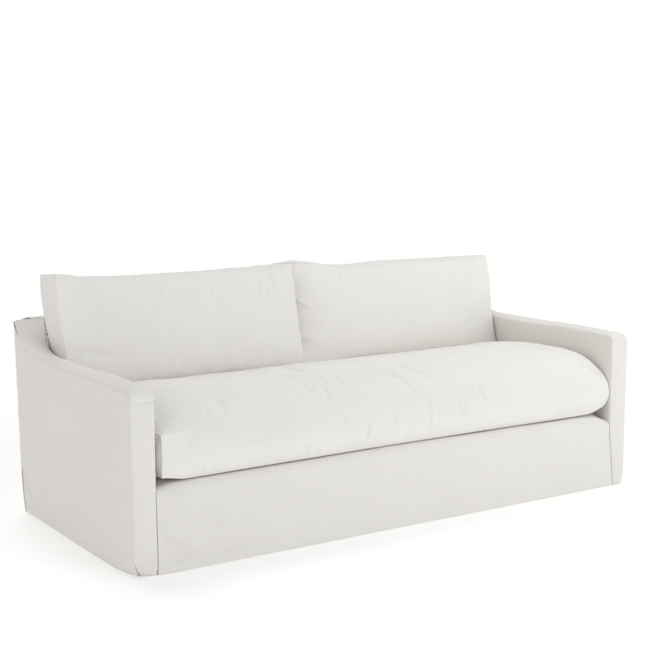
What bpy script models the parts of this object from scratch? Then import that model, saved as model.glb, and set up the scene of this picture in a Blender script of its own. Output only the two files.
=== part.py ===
"""Fitted white slipcover set for a long bench-seat sofa.

The body cover is a hollow shell of sewn panels that reaches the floor all round.  On it lie one bench
seat cushion and two back cushions.  The frame under the cover is left out.  +X runs along the length,
+Y towards the back, +Z up, and the origin is on the floor at the middle of the footprint.
"""
import bpy
import bmesh
import math
from collections import namedtuple
from mathutils import Vector

# ---- driving sizes, in metres ------------------------------------------------------------------
LENGTH = 2.308            # over the two outside arms
DEPTH = 1.052             # arm fronts to the top of the outside back
ARM_WIDTH = 0.094
ARM_HEIGHT = 0.640
ARM_CROWN = 0.015         # the padding of an arm under its strip
CROWN_POWER = 0.6         # how full that crown is: lower is fuller at the edges
CROWN_START = 0.055       # it grows over this share of the strip at the front
CROWN_END = 0.167         # and dies out over this share at the back
BACK_HEIGHT = 0.774       # front edge of the strip over the back
BACK_REAR_HEIGHT = 0.757  # its rear edge, where the outside back starts
BACK_THICKNESS = 0.096    # inside back to outside back, at the top
RAIL_HEIGHT = 0.319       # seat deck and the top of the front panel
RAKE = 0.2456             # how far the inside back leans back for each metre up
CLOTH = 0.003             # cloth with its seam allowances
SEAM_GAP = 0.0004         # between two panels that are sewn together
HEM_GAP = 0.0008          # hem above the floor
ROLL = 0.026              # radius of the cloth over a padded frame edge
TUCK_REACH = 0.16         # how far along the hem a floor corner is rounded
TUCK_HEIGHT = 0.075       # and how far up
TUCK_EASE = 0.18          # extra room at a tucked corner, where the cloth lies slanting
ARM_FRONT_CROWN = 0.006   # padding of the narrow arm fronts
BACK_TOP_CROWN = 0.011    # padding of the strip over the back
BACK_TOP_FADE = 0.06      # share of its length over which that padding grows from a mitre
MITRE_CROWN = 0.007       # padding at the mitres to the arm strips
MITRE_START = 0.85        # share of an arm strip from where it grows
CREVICE = 0.060           # how far the inside panels run down past the seat deck
PLAIN_EDGE = 0.010        # flat cloth between such a roll and its seam
CATCH_UP = 0.85           # share of an arm's top line from where the last column lines up with the back
FRONT_PAD_FADE = 0.080    # an arm front's padding dies out over this height below its top
DECK_RISE = 0.10          # the deck rises from the rail over this depth
SQUEEZE = 0.030           # the inside back narrows between the arm strips over this height
ROLL_STEPS = 3            # rows over the front roll of an arm
SPAN_STEPS = 3            # rows between two stations of an arm strip
LEFT_DENSITY = 0.35       # how much closer the front panel's columns stand at its folded left end

SIDE = LENGTH / 2
FRONT = -DEPTH / 2
INNER = SIDE - ARM_WIDTH
OVERLAP = CLOTH + SEAM_GAP

SEAT_LEFT = 1.036         # ends of the bench cushion, from the middle
SEAT_RIGHT = 1.057
SEAT_DEPTH = 0.840
SEAT_EDGE = 0.484         # height of its top seam
SEAT_SHELF = 0.520        # where the back cushions press it flat
SHELF_START = 0.728       # that shelf's front edge, from the arm fronts
SHELF_RAMP = 0.080        # the crown falls to the shelf over this depth
SEAT_LIFT = 0.0035        # how far the bottom seam lies over the deck
CORNER_LIFT = 0.015       # and how much more at the soft left corners
CORNER_REACH = 0.070
ROUND_LIFT = 0.020        # the right end is rounder: its bottom corners lift more
ROUND_REACH = 0.075
ROUND_DRAW = 0.004        # and its upright corner is drawn back
ROUND_DRAW_REACH = 0.010
SAG_SHARE = 0.6           # how much of the rail's drop its front seam follows
SAG_REACH = 0.030         # how far back it does
UNDER_REACH = 0.10        # the bottom comes down from its seam to the deck over this distance
WAVE_STRETCH = 1.3        # the crown's unevenness ends this much before the back seam
SHELF_LEAD = 0.02         # the shelf is full this far before its front edge
SHELF_END = 0.02          # and starts this far from the two ends
STRAIGHT_END = 0.15       # share of the front boxing's line that is left at the square left end
STRAIGHT_REACH = 0.16     # how far from that end the boxing has its full line
FRONT_REACH = 0.070       # how far back the front boxing's line still tells
LEFT_REACH = 0.030        # and how far inwards the lines of the two ends do
RIGHT_REACH = 0.050

CUSHION_FRONT = 0.733     # front seam of the back cushions at the shelf
CUSHION_THICKNESS = 0.152
CUSHION_SIDE = 1.053      # outer side, from the middle
CUSHION_BULGE = 0.046     # crown of the front face
FULL_WIDE = 0.6           # how full that crown is across and up: lower is fuller at the seams
FULL_HIGH = 0.7
SOFT_END = 0.5            # the same for the fullness of a boxing along its length
TOP_ONLY = 6              # how strongly the top's own shape is kept to the top
OUTER_DROP_REACH = 0.12   # how far in from the outer side the rear corner drops
INNER_DROP_REACH = 0.10   # and from the middle
CUSHION_SEAM = 0.001      # half the gap between the two cushions
REAR_BULGE = 0.003        # fullness against the inside back
TOP_PUFF = 0.008          # the top boxing between its two seams
OUTER_PUFF = 0.003        # the outer boxing between its two seams
REAR_CORNER_DROP = 0.016  # the rear top corners hang lower than the front ones
VALLEY_DEPTH = 0.040      # the right back cushion falls away towards the middle seam
VALLEY_REACH = 0.085
OVERHANG_REACH = 0.060    # how far inwards a back cushion's overhang over the arm tells

CLOTH_COLOUR = (0.86, 0.85, 0.82, 1.0)
CLOTH_ROUGHNESS = 0.9

LEFT = -1                 # the two sides, as signs along the length
RIGHT = 1
TUCK = {LEFT: 0.036, RIGHT: 0.006}         # how far the hem is pulled in at a front floor corner
SEAM_SHIFT = {LEFT: -0.004, RIGHT: 0.030}  # how far the seam beside an arm front drifts out at the floor
HEM_LEAN = {LEFT: 0.006, RIGHT: 0.000}     # how far an outside arm hangs in at the floor

# ---- short tables ------------------------------------------------------------------------------
# The arm strip behind its front roll: both long edges, forward distance from the arm fronts, height.
ArmStation = namedtuple("ArmStation", "outer_y outer_z inner_y inner_z")
ARM_STATIONS = (
    ArmStation(0.028, 0.640, 0.028, 0.642),
    ArmStation(0.280, 0.641, 0.280, 0.646),
    ArmStation(0.560, 0.638, 0.560, 0.636),
    ArmStation(0.790, 0.638, 0.790, 0.636),
    ArmStation(0.890, 0.652, 0.880, 0.646),
    ArmStation(0.965, 0.684, 0.928, 0.674),
    ArmStation(1.022, 0.719, 0.943, 0.722),
    ArmStation(1.046, 0.757, 0.956, 0.774),
)
SCOOP_STATION = 5         # from here on the inner edge climbs the inside back

# Fold lines on the drop of a panel, each a curve from a over m to b: along and height of the three,
# half width of the ridge, and how far it stands out.
Fold = namedtuple("Fold", "along_a z_a along_m z_m along_b z_b half_width rise")
FRONT_FOLDS = (
    Fold(-1.060, 0.320, -0.860, 0.150, -0.440, 0.040, 0.050, 0.014),
    Fold(-1.060, 0.210, -0.980, 0.110, -0.860, 0.050, 0.036, 0.009),
    Fold(-1.050, 0.130, -0.900, 0.080, -0.700, 0.040, 0.036, -0.009),
    Fold(-0.420, 0.070, -0.250, 0.060, -0.080, 0.045, 0.060, -0.005),
    Fold(0.000, 0.110, 0.130, 0.070, 0.280, 0.050, 0.070, -0.006),
    Fold(0.450, 0.200, 0.470, 0.120, 0.480, 0.040, 0.060, 0.004),
    Fold(0.600, 0.120, 0.800, 0.100, 1.000, 0.075, 0.060, -0.005),
)
SIDE_FOLDS = {LEFT: (
    Fold(1.040, 0.420, 0.960, 0.330, 0.880, 0.240, 0.045, 0.007),
    Fold(1.030, 0.190, 0.930, 0.060, 0.700, 0.020, 0.040, -0.010),
    Fold(1.000, 0.280, 0.900, 0.150, 0.760, 0.090, 0.050, 0.007),
    Fold(0.540, 0.610, 0.470, 0.560, 0.420, 0.500, 0.050, -0.003),
    Fold(0.130, 0.590, 0.080, 0.540, 0.050, 0.450, 0.040, -0.003),
), RIGHT: (
    Fold(1.000, 0.320, 0.920, 0.200, 0.800, 0.100, 0.060, 0.007),
    Fold(0.370, 0.240, 0.330, 0.120, 0.290, 0.030, 0.060, 0.005),
    Fold(0.650, 0.200, 0.620, 0.100, 0.590, 0.030, 0.060, -0.005),
)}
BACK_FOLDS = (
    Fold(-0.910, 0.300, -0.880, 0.150, -0.850, 0.030, 0.070, 0.006),
    Fold(-0.340, 0.220, -0.310, 0.120, -0.300, 0.030, 0.070, -0.005),
    Fold(0.270, 0.240, 0.290, 0.130, 0.310, 0.030, 0.070, 0.005),
    Fold(0.850, 0.300, 0.880, 0.160, 0.910, 0.030, 0.070, 0.006),
)
FOLD_STEPS = 8            # straight pieces that stand for a fold's curve
FOLD_START = 0.20         # a fold grows over this share of its length
FOLD_END = 0.333          # and dies out over this share
SEAM_FADE = 0.050         # folds fade out over this distance from a seam
EDGE_FADE = 0.030         # and on the front panel over this distance from an arm front

# The outside back leans: distance from the arm fronts at each height.
BACK_LEAN = ((0.000, 0.992), (0.040, 1.006), (0.085, 1.015), (0.205, 1.026), (0.365, 1.034),
             (0.525, 1.042), (0.663, 1.049), (0.731, 1.052), (0.800, 1.052))

# How far the front rail drops towards the arms: place along the length, drop.
RAIL_DROP = ((-1.060, 0.016), (-1.000, 0.007), (-0.850, 0.006), (-0.500, 0.003), (-0.050, 0.000),
             (0.450, 0.002), (0.780, 0.005), (0.950, 0.007), (1.000, 0.014), (1.060, 0.034))

# Crown of the bench cushion over its top seam: distance from the front, rise.
SEAT_CROWN = ((0.000, 0.000), (0.020, 0.020), (0.050, 0.040), (0.100, 0.062), (0.170, 0.080),
              (0.270, 0.091), (0.400, 0.090), (0.530, 0.079), (0.640, 0.061), (0.708, 0.048),
              (SHELF_START, SEAT_SHELF - SEAT_EDGE), (0.800, SEAT_SHELF - SEAT_EDGE),
              (SEAT_DEPTH, 0.000))
# Share of that crown near an end: distance from the end, left, right.
SeatEnd = namedtuple("SeatEnd", "inward left right")
SEAT_ENDS = (SeatEnd(0.000, 0.00, 0.46), SeatEnd(0.025, 0.36, 0.84), SeatEnd(0.060, 0.66, 0.95),
             SeatEnd(0.110, 0.86, 0.98), SeatEnd(0.200, 1.00, 0.99), SeatEnd(0.300, 1.00, 1.00))
# The cushion's boxing from its bottom seam to its top seam: share of the height, and how far the front
# lies back and the two ends lie inwards.
Boxing = namedtuple("Boxing", "up front left right")
SEAT_BOXING = (
    Boxing(0.00, 0.022, 0.002, 0.010),
    Boxing(0.12, 0.011, -0.005, 0.005),
    Boxing(0.30, 0.002, -0.010, 0.001),
    Boxing(0.45, 0.000, -0.012, 0.000),
    Boxing(0.60, 0.003, -0.011, 0.000),
    Boxing(0.80, 0.013, -0.008, 0.001),
    Boxing(1.00, 0.034, 0.002, 0.006),
)
# Slow unevenness of the crown along the length: place, rise.
SEAT_WAVES = ((-1.036, 0.000), (-0.830, 0.007), (-0.610, -0.005), (-0.250, -0.002), (0.050, 0.002),
              (0.350, -0.002), (0.640, 0.002), (1.050, 0.000))

# Top line of the back cushions: distance from the middle, height.
TOP_LEFT = ((0.001, 0.941), (0.045, 0.932), (0.100, 0.922), (0.240, 0.919), (0.390, 0.916),
            (0.600, 0.916), (0.850, 0.922), (0.930, 0.930), (0.990, 0.945), (1.053, 0.958))
TOP_RIGHT = ((0.001, 0.943), (0.060, 0.939), (0.150, 0.925), (0.240, 0.909), (0.360, 0.903),
             (0.530, 0.909), (0.900, 0.906), (0.970, 0.910), (1.053, 0.921))
# A back cushion overhangs the arm above it: height, how far.
OVERHANG = ((0.520, 0.000), (0.660, 0.000), (0.700, 0.004), (0.760, 0.010), (0.850, 0.013),
            (0.920, 0.010), (0.960, 0.004))


# ---- small helpers -----------------------------------------------------------------------------
def mix(a, b, share):
    return a + (b - a) * share


def smooth_step(value):
    value = min(max(value, 0.0), 1.0)
    return value * value * (3.0 - 2.0 * value)


def read_table(rows, place):
    """Value at a place of a table of (place, value) rows, straight between the rows."""
    if place <= rows[0][0]:
        return rows[0][1]
    for (place_a, value_a), (place_b, value_b) in zip(rows, rows[1:]):
        if place <= place_b:
            return mix(value_a, value_b, (place - place_a) / (place_b - place_a))
    return rows[-1][1]


def fold_curve(fold):
    """Points along the middle of a fold."""
    a, m, b = (Vector(pair) for pair in ((fold.along_a, fold.z_a), (fold.along_m, fold.z_m),
                                         (fold.along_b, fold.z_b)))
    shares = [step / FOLD_STEPS for step in range(FOLD_STEPS + 1)]
    return [a.lerp(m, share).lerp(m.lerp(b, share), share) for share in shares]


def fold_rise(folds, along, z):
    """How far soft ridges and troughs carry a point of a panel outwards."""
    total = 0.0
    point = Vector((along, z))
    for fold in folds:
        nearest = None
        points = fold_curve(fold)
        for index, (start, end) in enumerate(zip(points, points[1:])):
            run = end - start
            share = min(max((point - start).dot(run) / run.length_squared, 0.0), 1.0)
            distance = (point - start - run * share).length
            if nearest is None or distance < nearest:
                nearest = distance
                length_share = (index + share) / FOLD_STEPS
        fade = smooth_step(length_share / FOLD_START) * smooth_step((1.0 - length_share) / FOLD_END)
        total += fold.rise * fade * math.exp(-(nearest / fold.half_width) ** 2)
    return total


def smooth_path(points, steps):
    """Catmull-Rom curve through points, with a number of steps in each span."""
    ends = [points[0] * 2 - points[1]] + list(points) + [points[-1] * 2 - points[-2]]
    path = []
    for a, b, c, d in zip(ends, ends[1:], ends[2:], ends[3:]):
        for step in range(steps):
            t = step / steps
            path.append(0.5 * (2 * b + (c - a) * t + (2 * a - 5 * b + 4 * c - d) * t * t
                               + (3 * b - a - 3 * c + d) * t ** 3))
    path.append(points[-1])
    return path


def clear_scene():
    for item in list(bpy.data.objects):
        bpy.data.objects.remove(item, do_unlink=True)


def make_material(name, colour, roughness):
    material = bpy.data.materials.new(name)
    material.use_nodes = True
    shader = material.node_tree.nodes["Principled BSDF"]
    shader.inputs["Base Color"].default_value = colour
    shader.inputs["Roughness"].default_value = roughness
    shader.inputs["Metallic"].default_value = 0.0
    return material


def finish_object(name, bm, collection):
    mesh = bpy.data.meshes.new(name)
    bm.to_mesh(mesh)
    bm.free()
    piece = bpy.data.objects.new(name, mesh)
    collection.objects.link(piece)
    mesh.shade_smooth()
    mesh.set_sharp_from_angle(angle=math.radians(40))
    mesh.materials.append(make_material(name + "_cloth", CLOTH_COLOUR, CLOTH_ROUGHNESS))
    return piece


def cloth_panel(name, columns, rows, shape, outward, collection):
    """A panel of cloth: a grid laid on shape(u, v), with its thickness behind that face."""
    bm = bmesh.new()
    bmesh.ops.create_grid(bm, x_segments=columns, y_segments=rows, size=0.5)
    for vertex in bm.verts:
        vertex.co = Vector(shape(vertex.co.x + 0.5, vertex.co.y + 0.5))
    bm.normal_update()
    facing = sum((face.normal * face.calc_area() for face in bm.faces), Vector())
    if facing.dot(Vector(outward)) < 0.0:
        bmesh.ops.reverse_faces(bm, faces=bm.faces)
    piece = finish_object(name, bm, collection)
    wall = piece.modifiers.new("cloth_thickness", "SOLIDIFY")
    wall.thickness = CLOTH
    wall.offset = -1.0
    wall.use_even_offset = True
    return piece


def filled_block(name, stations, shape, collection):
    """A filled cushion: a cube cut at stations along its three sides, then moved by shape(a, b, c)."""
    bm = bmesh.new()
    bmesh.ops.create_cube(bm, size=1.0)
    bmesh.ops.translate(bm, verts=bm.verts, vec=(0.5, 0.5, 0.5))
    for axis, shares in enumerate(stations):
        normal = [0.0, 0.0, 0.0]
        normal[axis] = 1.0
        for share in shares:
            bmesh.ops.bisect_plane(bm, geom=bm.verts[:] + bm.edges[:] + bm.faces[:],
                                   plane_co=[value * share for value in normal], plane_no=normal)
    for vertex in bm.verts:
        vertex.co = Vector(shape(*vertex.co))
    bmesh.ops.recalc_face_normals(bm, faces=bm.faces)
    return finish_object(name, bm, collection)


# ---- the outer form that the panels share --------------------------------------------------------
def back_face(z):
    return FRONT + read_table(BACK_LEAN, z)


def inside_back_face(z):
    return FRONT + DEPTH - BACK_THICKNESS - (BACK_HEIGHT - z) * RAKE


def corner_tuck(distance, z, side):
    """How far the hem is pulled in at a rounded floor corner."""
    near = max(0.0, 1.0 - distance / TUCK_REACH) ** 2
    low = max(0.0, 1.0 - z / TUCK_HEIGHT) ** 2
    return TUCK[side] * near * low


def side_face(y, z, side):
    """Outer face of an outside arm, as a distance from the middle."""
    from_front = y - FRONT
    seam_fade = smooth_step(from_front / SEAM_FADE) * smooth_step((ARM_HEIGHT - z) / SEAM_FADE)
    lean = HEM_LEAN[side] * (1.0 - min(z / ARM_HEIGHT, 1.0)) ** 2
    rise = fold_rise(SIDE_FOLDS[side], from_front, z) * seam_fade
    return SIDE - lean + rise - corner_tuck(from_front, z, side)


def front_face(x, z):
    """Face of the front panel and of the arm fronts."""
    side = LEFT if x < 0 else RIGHT
    return FRONT + corner_tuck(SIDE - abs(x), z, side)


def front_seam(z, side):
    """Where the front panel meets an arm front, as a distance from the middle."""
    turn = RAIL_HEIGHT - CREVICE - 2.0 * CLOTH
    return INNER + SEAM_SHIFT[side] * max(0.0, 1.0 - z / turn)


def rail_height(x):
    return RAIL_HEIGHT - read_table(RAIL_DROP, x)


# ---- panels --------------------------------------------------------------------------------------
def arm_edges():
    """Both long edges of an arm strip as (y, z) paths, from the front roll to the top of the back."""
    seam = Vector((FRONT, ARM_HEIGHT - ROLL - PLAIN_EDGE))
    outer = [seam]
    inner = [seam]
    for step in range(ROLL_STEPS):
        angle = math.pi / 2 * step / ROLL_STEPS
        y = FRONT + ROLL * (1.0 - math.cos(angle))
        z = ARM_HEIGHT - ROLL * (1.0 - math.sin(angle))
        outer.append(Vector((y, z)))
        inner.append(Vector((y, z)))
    outer += smooth_path([Vector((FRONT + row.outer_y, row.outer_z)) for row in ARM_STATIONS], SPAN_STEPS)
    inner += smooth_path([Vector((FRONT + row.inner_y, row.inner_z)) for row in ARM_STATIONS], SPAN_STEPS)
    outer[-1] = outer[-1] - (outer[-1] - outer[-2]).normalized() * OVERLAP
    inner[-1] = inner[-1] - (inner[-1] - inner[-2]).normalized() * OVERLAP
    return outer, inner


def at_share(path, share):
    place = share * (len(path) - 1)
    index = min(int(place + 1e-6), len(path) - 2)
    return path[index].lerp(path[index + 1], place - index)


def mitre_crown(v):
    return MITRE_CROWN * math.sin(math.pi * v)


def arm_top(side, name, collection):
    outer, inner = arm_edges()

    def shape(u, v):
        rim_a = at_share(outer, u)
        rim_b = at_share(inner, u)
        spot = rim_a.lerp(rim_b, v)
        x = mix(side_face(rim_a.x, ARM_HEIGHT, side), INNER, v)
        fade = smooth_step(u / CROWN_START) * smooth_step((1.0 - u) / CROWN_END)
        crown = ARM_CROWN * math.sin(math.pi * v) ** CROWN_POWER * fade
        mitre = mitre_crown(v) * smooth_step((u - MITRE_START) / (1.0 - MITRE_START))
        return side * x, spot.x, spot.y + crown + mitre

    return cloth_panel(name, len(outer) - 1, 3, shape, (0, 0, 1), collection)


def top_line(path, clearance):
    """The arm strip's edge as seen from under it: the same line, a cloth's thickness lower."""
    line = []
    for before, here, after in zip([path[0]] + path[:-1], path, path[1:] + [path[-1]]):
        run = (after - before).normalized()
        line.append(here + Vector((run.y, -run.x)) * clearance)
    return line


def column_share(line, u, start, end):
    """How far back the column under a point of a top line stands, reaching 1 at the last one."""
    top = at_share(line, u)
    last = line[-1]
    missing = 1.0 - (last.x - start) / (end(last.y) - start)
    caught_up = smooth_step((u - CATCH_UP) / (1.0 - CATCH_UP))
    share = (top.x - start) / (end(top.y) - start) + missing * caught_up
    return min(max(share, 0.0), 1.0)


def outside_arm(side, name, collection):
    line = top_line(arm_edges()[0], OVERLAP)[1:]
    start = FRONT + OVERLAP

    def end(z):
        return back_face(z) - OVERLAP

    def shape(u, v):
        z = mix(HEM_GAP, at_share(line, u).y, v)
        tuck = corner_tuck(0.0, z, side)
        seam = start + tuck * (1.0 + TUCK_EASE)
        y = mix(seam, end(z), column_share(line, u, start, end))
        return side * side_face(y - tuck, z, side), y, z

    return cloth_panel(name, len(line) - 1, 12, shape, (side, 0, 0), collection)


def inside_arm(side, name, collection):
    last = 1 + ROLL_STEPS + SCOOP_STATION * SPAN_STEPS
    line = top_line(arm_edges()[1], OVERLAP)[1:last + 1]
    start = FRONT + OVERLAP
    low = RAIL_HEIGHT - CREVICE

    def end(z):
        return inside_back_face(z) + CLOTH

    def shape(u, v):
        z = mix(low, at_share(line, u).y, v)
        return side * INNER, mix(start, end(z), column_share(line, u, start, end)), z

    return cloth_panel(name, len(line) - 1, 3, shape, (-side, 0, 0), collection)


def arm_front(side, name, collection):
    top = arm_edges()[0][0].y - SEAM_GAP

    def shape(u, v):
        z = mix(HEM_GAP, top, v)
        tuck = corner_tuck(0.0, z, side)
        outer = side_face(FRONT, z, side)
        x = mix(outer, front_seam(z, side), u)
        bulge = ARM_FRONT_CROWN * math.sin(math.pi * u) * smooth_step((top - z) / FRONT_PAD_FADE)
        return side * x, front_face(side * (x + tuck), z) - bulge, z

    return cloth_panel(name, 4, 14, shape, (0, -1, 0), collection)


def front_panel(name, collection):
    drop_rows = 10
    rows = drop_rows + ROLL_STEPS + 1

    def shape(u, v):
        spread = mix(u, u * u, LEFT_DENSITY)
        nominal = mix(-INNER, INNER, spread)
        rail = rail_height(nominal)
        row = v * rows
        if row > drop_rows:
            angle = math.pi / 2 * min((row - drop_rows) / ROLL_STEPS, 1.0)
            z = rail - ROLL * (1.0 - math.sin(angle))
            past_roll = max(row - drop_rows - ROLL_STEPS, 0.0) * PLAIN_EDGE
            y = FRONT + ROLL * (1.0 - math.cos(angle)) + past_roll
        else:
            z = mix(HEM_GAP, rail - ROLL, row / drop_rows)
            y = front_face(nominal, z)
        left = SEAM_GAP - front_seam(z, LEFT)
        right = front_seam(z, RIGHT) - SEAM_GAP
        x = mix(left, right, spread)
        edge_fade = smooth_step((x - left) / EDGE_FADE) * smooth_step((right - x) / EDGE_FADE)
        low_fade = smooth_step((rail - z) / SEAM_FADE)
        rise = fold_rise(FRONT_FOLDS, x, z) * edge_fade * low_fade
        return x, y - rise, z

    return cloth_panel(name, 40, rows, shape, (0, -1, 0), collection)


def seat_deck(name, collection):
    front = FRONT + ROLL + PLAIN_EDGE + SEAM_GAP
    rear = inside_back_face(RAIL_HEIGHT - CLOTH) - SEAM_GAP
    reach = INNER - SEAM_GAP

    def shape(u, v):
        x = mix(-reach, reach, u)
        y = mix(front, rear, v)
        z = mix(rail_height(x), RAIL_HEIGHT, smooth_step((y - front) / DECK_RISE))
        return x, y, z

    return cloth_panel(name, 20, 6, shape, (0, 0, 1), collection)


def inside_back(name, collection):
    top = BACK_HEIGHT - OVERLAP
    low = RAIL_HEIGHT - CREVICE

    def shape(u, v):
        z = mix(low, top, v)
        reach = INNER - mix(SEAM_GAP, OVERLAP, smooth_step((z - ARM_HEIGHT) / SQUEEZE))
        return mix(-reach, reach, u), inside_back_face(z), z

    return cloth_panel(name, 6, 4, shape, (0, -1, 0), collection)


def back_top(name, collection):
    """Strip over the back: mitred at both ends to the arm strips, rolled over the rear edge."""
    front = inside_back_face(BACK_HEIGHT)
    rear = back_face(BACK_REAR_HEIGHT)

    def shape(u, v):
        y = mix(front, rear, v)
        reach = mix(INNER, SIDE, v)
        x = mix(-reach, reach, u)
        fall = (BACK_HEIGHT - BACK_REAR_HEIGHT) * v ** 2
        padding = mix(MITRE_CROWN, BACK_TOP_CROWN, smooth_step(min(u, 1.0 - u) / BACK_TOP_FADE))
        return x, y, BACK_HEIGHT - fall + padding * math.sin(math.pi * v)

    return cloth_panel(name, 12, 4, shape, (0, 0, 1), collection)


def outside_back(name, collection):
    top = BACK_REAR_HEIGHT - OVERLAP - 1.5 * SEAM_GAP

    def shape(u, v):
        z = mix(HEM_GAP, top, v)
        x = mix(-SIDE, SIDE, u)
        end_fade = smooth_step((SIDE - abs(x)) / SEAM_FADE) * smooth_step((top - z) / SEAM_FADE)
        rise = fold_rise(BACK_FOLDS, x, z) * end_fade
        return x, back_face(z) + rise, z

    return cloth_panel(name, 24, 12, shape, (0, 1, 0), collection)


# ---- cushions ------------------------------------------------------------------------------------
def seat_cushion(name, collection):
    length = SEAT_LEFT + SEAT_RIGHT
    front_line, left_line, right_line = ([(row.up, row[side]) for row in SEAT_BOXING] for side in (1, 2, 3))
    left_end, right_end = ([(row.inward, row[side]) for row in SEAT_ENDS] for side in (1, 2))

    def shape(a, b, c):
        x = mix(-SEAT_LEFT, SEAT_RIGHT, a)
        from_front = b * SEAT_DEPTH
        from_left = x + SEAT_LEFT
        from_right = SEAT_RIGHT - x
        edge = min(from_front, SEAT_DEPTH - from_front)
        end = min(from_left, from_right)
        corner = CORNER_LIFT * math.exp(-(edge ** 2 + from_left ** 2) / CORNER_REACH ** 2)
        corner += ROUND_LIFT * math.exp(-(edge ** 2 + from_right ** 2) / ROUND_REACH ** 2)
        under = SEAT_LIFT * (1.0 - smooth_step(min(edge, end) / UNDER_REACH)) + corner
        near_rail = smooth_step(end / UNDER_REACH) * math.exp(-from_front / SAG_REACH)
        settled = SAG_SHARE * read_table(RAIL_DROP, x) * near_rail
        bottom = RAIL_HEIGHT + SEAM_GAP + under - settled
        shelf = smooth_step(1.0 + (from_front - SHELF_START + SHELF_LEAD) / SHELF_RAMP)
        waves = read_table(SEAT_WAVES, x) * math.sin(math.pi * min(b * WAVE_STRETCH, 1.0)) * (1.0 - shelf)
        crown = read_table(left_end, from_left) * read_table(right_end, from_right)
        share = mix(crown, 1.0, shelf * (1.0 if end > SHELF_END else 0.0))
        top = SEAT_EDGE + read_table(SEAT_CROWN, from_front) * share + waves
        drawn = read_table(front_line, c) * mix(STRAIGHT_END, 1.0, smooth_step(from_left / STRAIGHT_REACH))
        drawn += ROUND_DRAW * math.exp(-from_right / ROUND_DRAW_REACH)
        y = FRONT + from_front + drawn * math.exp(-from_front / FRONT_REACH)
        near_left = math.exp(-from_left / LEFT_REACH) * smooth_step(from_front / LEFT_REACH)
        inward = read_table(left_line, c) * near_left
        inward -= read_table(right_line, c) * math.exp(-from_right / RIGHT_REACH)
        return x + inward, y, mix(bottom, top, c)

    first_cuts = [distance / length for distance in (0.02, 0.05, 0.10)]
    last_cuts = [1.0 - distance / length for distance in (0.10, 0.05, 0.025, 0.01)]
    stations = (
        first_cuts + [step / 20 for step in range(2, 19)] + last_cuts,
        [row[0] / SEAT_DEPTH for row in SEAT_CROWN[1:-1]],
        [row.up for row in SEAT_BOXING[1:-1]],
    )
    return filled_block(name, stations, shape, collection)


def back_cushion(side, top_rows, name, collection):
    low = SEAT_SHELF + SEAM_GAP

    def shape(a, b, c):
        across = mix(CUSHION_SEAM, CUSHION_SIDE, a)
        top = read_table(top_rows, across)
        z = mix(low, top, c)
        front = FRONT + CUSHION_FRONT + (z - low) * RAKE
        arc_a, arc_b, arc_c = (math.sin(math.pi * share) for share in (a, b, c))
        pulled_in = -CUSHION_BULGE * arc_a ** FULL_WIDE * arc_c ** FULL_HIGH
        if side == RIGHT:
            pulled_in += VALLEY_DEPTH * math.exp(-(across / VALLEY_REACH) ** 2) * arc_c ** SOFT_END
        y = front + CUSHION_THICKNESS * b + pulled_in * (1.0 - b) + REAR_BULGE * arc_a * arc_c * b
        puff = TOP_PUFF * arc_b * arc_a ** SOFT_END
        near_outer = smooth_step(1.0 - (CUSHION_SIDE - across) / OUTER_DROP_REACH)
        near_inner = smooth_step(1.0 - across / INNER_DROP_REACH)
        drop = REAR_CORNER_DROP * b * (near_outer + near_inner)
        outer = OUTER_PUFF * arc_c * arc_b * a
        outer += read_table(OVERHANG, z) * math.exp((across - CUSHION_SIDE) / OVERHANG_REACH)
        return side * (across + outer), y, z + (puff - drop) * c ** TOP_ONLY

    stations = (
        [0.04, 0.10, 0.18, 0.28, 0.40, 0.52, 0.64, 0.76, 0.86, 0.93, 0.97],
        [0.30, 0.70],
        [0.06, 0.16, 0.30, 0.46, 0.62, 0.78, 0.90, 0.97],
    )
    return filled_block(name, stations, shape, collection)


def build():
    clear_scene()
    collection = bpy.data.collections.new("sofa_slipcover")
    bpy.context.scene.collection.children.link(collection)
    for side, word in ((LEFT, "left"), (RIGHT, "right")):
        outside_arm(side, "outside_arm_" + word, collection)
        arm_front(side, "arm_front_" + word, collection)
        arm_top(side, "arm_top_" + word, collection)
        inside_arm(side, "inside_arm_" + word, collection)
    front_panel("front_panel", collection)
    seat_deck("seat_deck", collection)
    inside_back("inside_back", collection)
    back_top("back_top", collection)
    outside_back("outside_back", collection)
    seat_cushion("seat_cushion", collection)
    back_cushion(LEFT, TOP_LEFT, "back_cushion_left", collection)
    back_cushion(RIGHT, TOP_RIGHT, "back_cushion_right", collection)


build()
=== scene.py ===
"""Looks of a fitted off-white slipcover set for a long bench-seat sofa.

Every panel of the body cover is a fine sheet of cloth laid on the folds of its solid, with its own
gathers, seams and hem. The three cushions are filled forms. Their creases are listed, and
the small wrinkles of their filling come from a cloth simulation.
Metres, +X along the length, +Y towards the back, +Z up.
"""

import math
from collections import namedtuple

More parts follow.
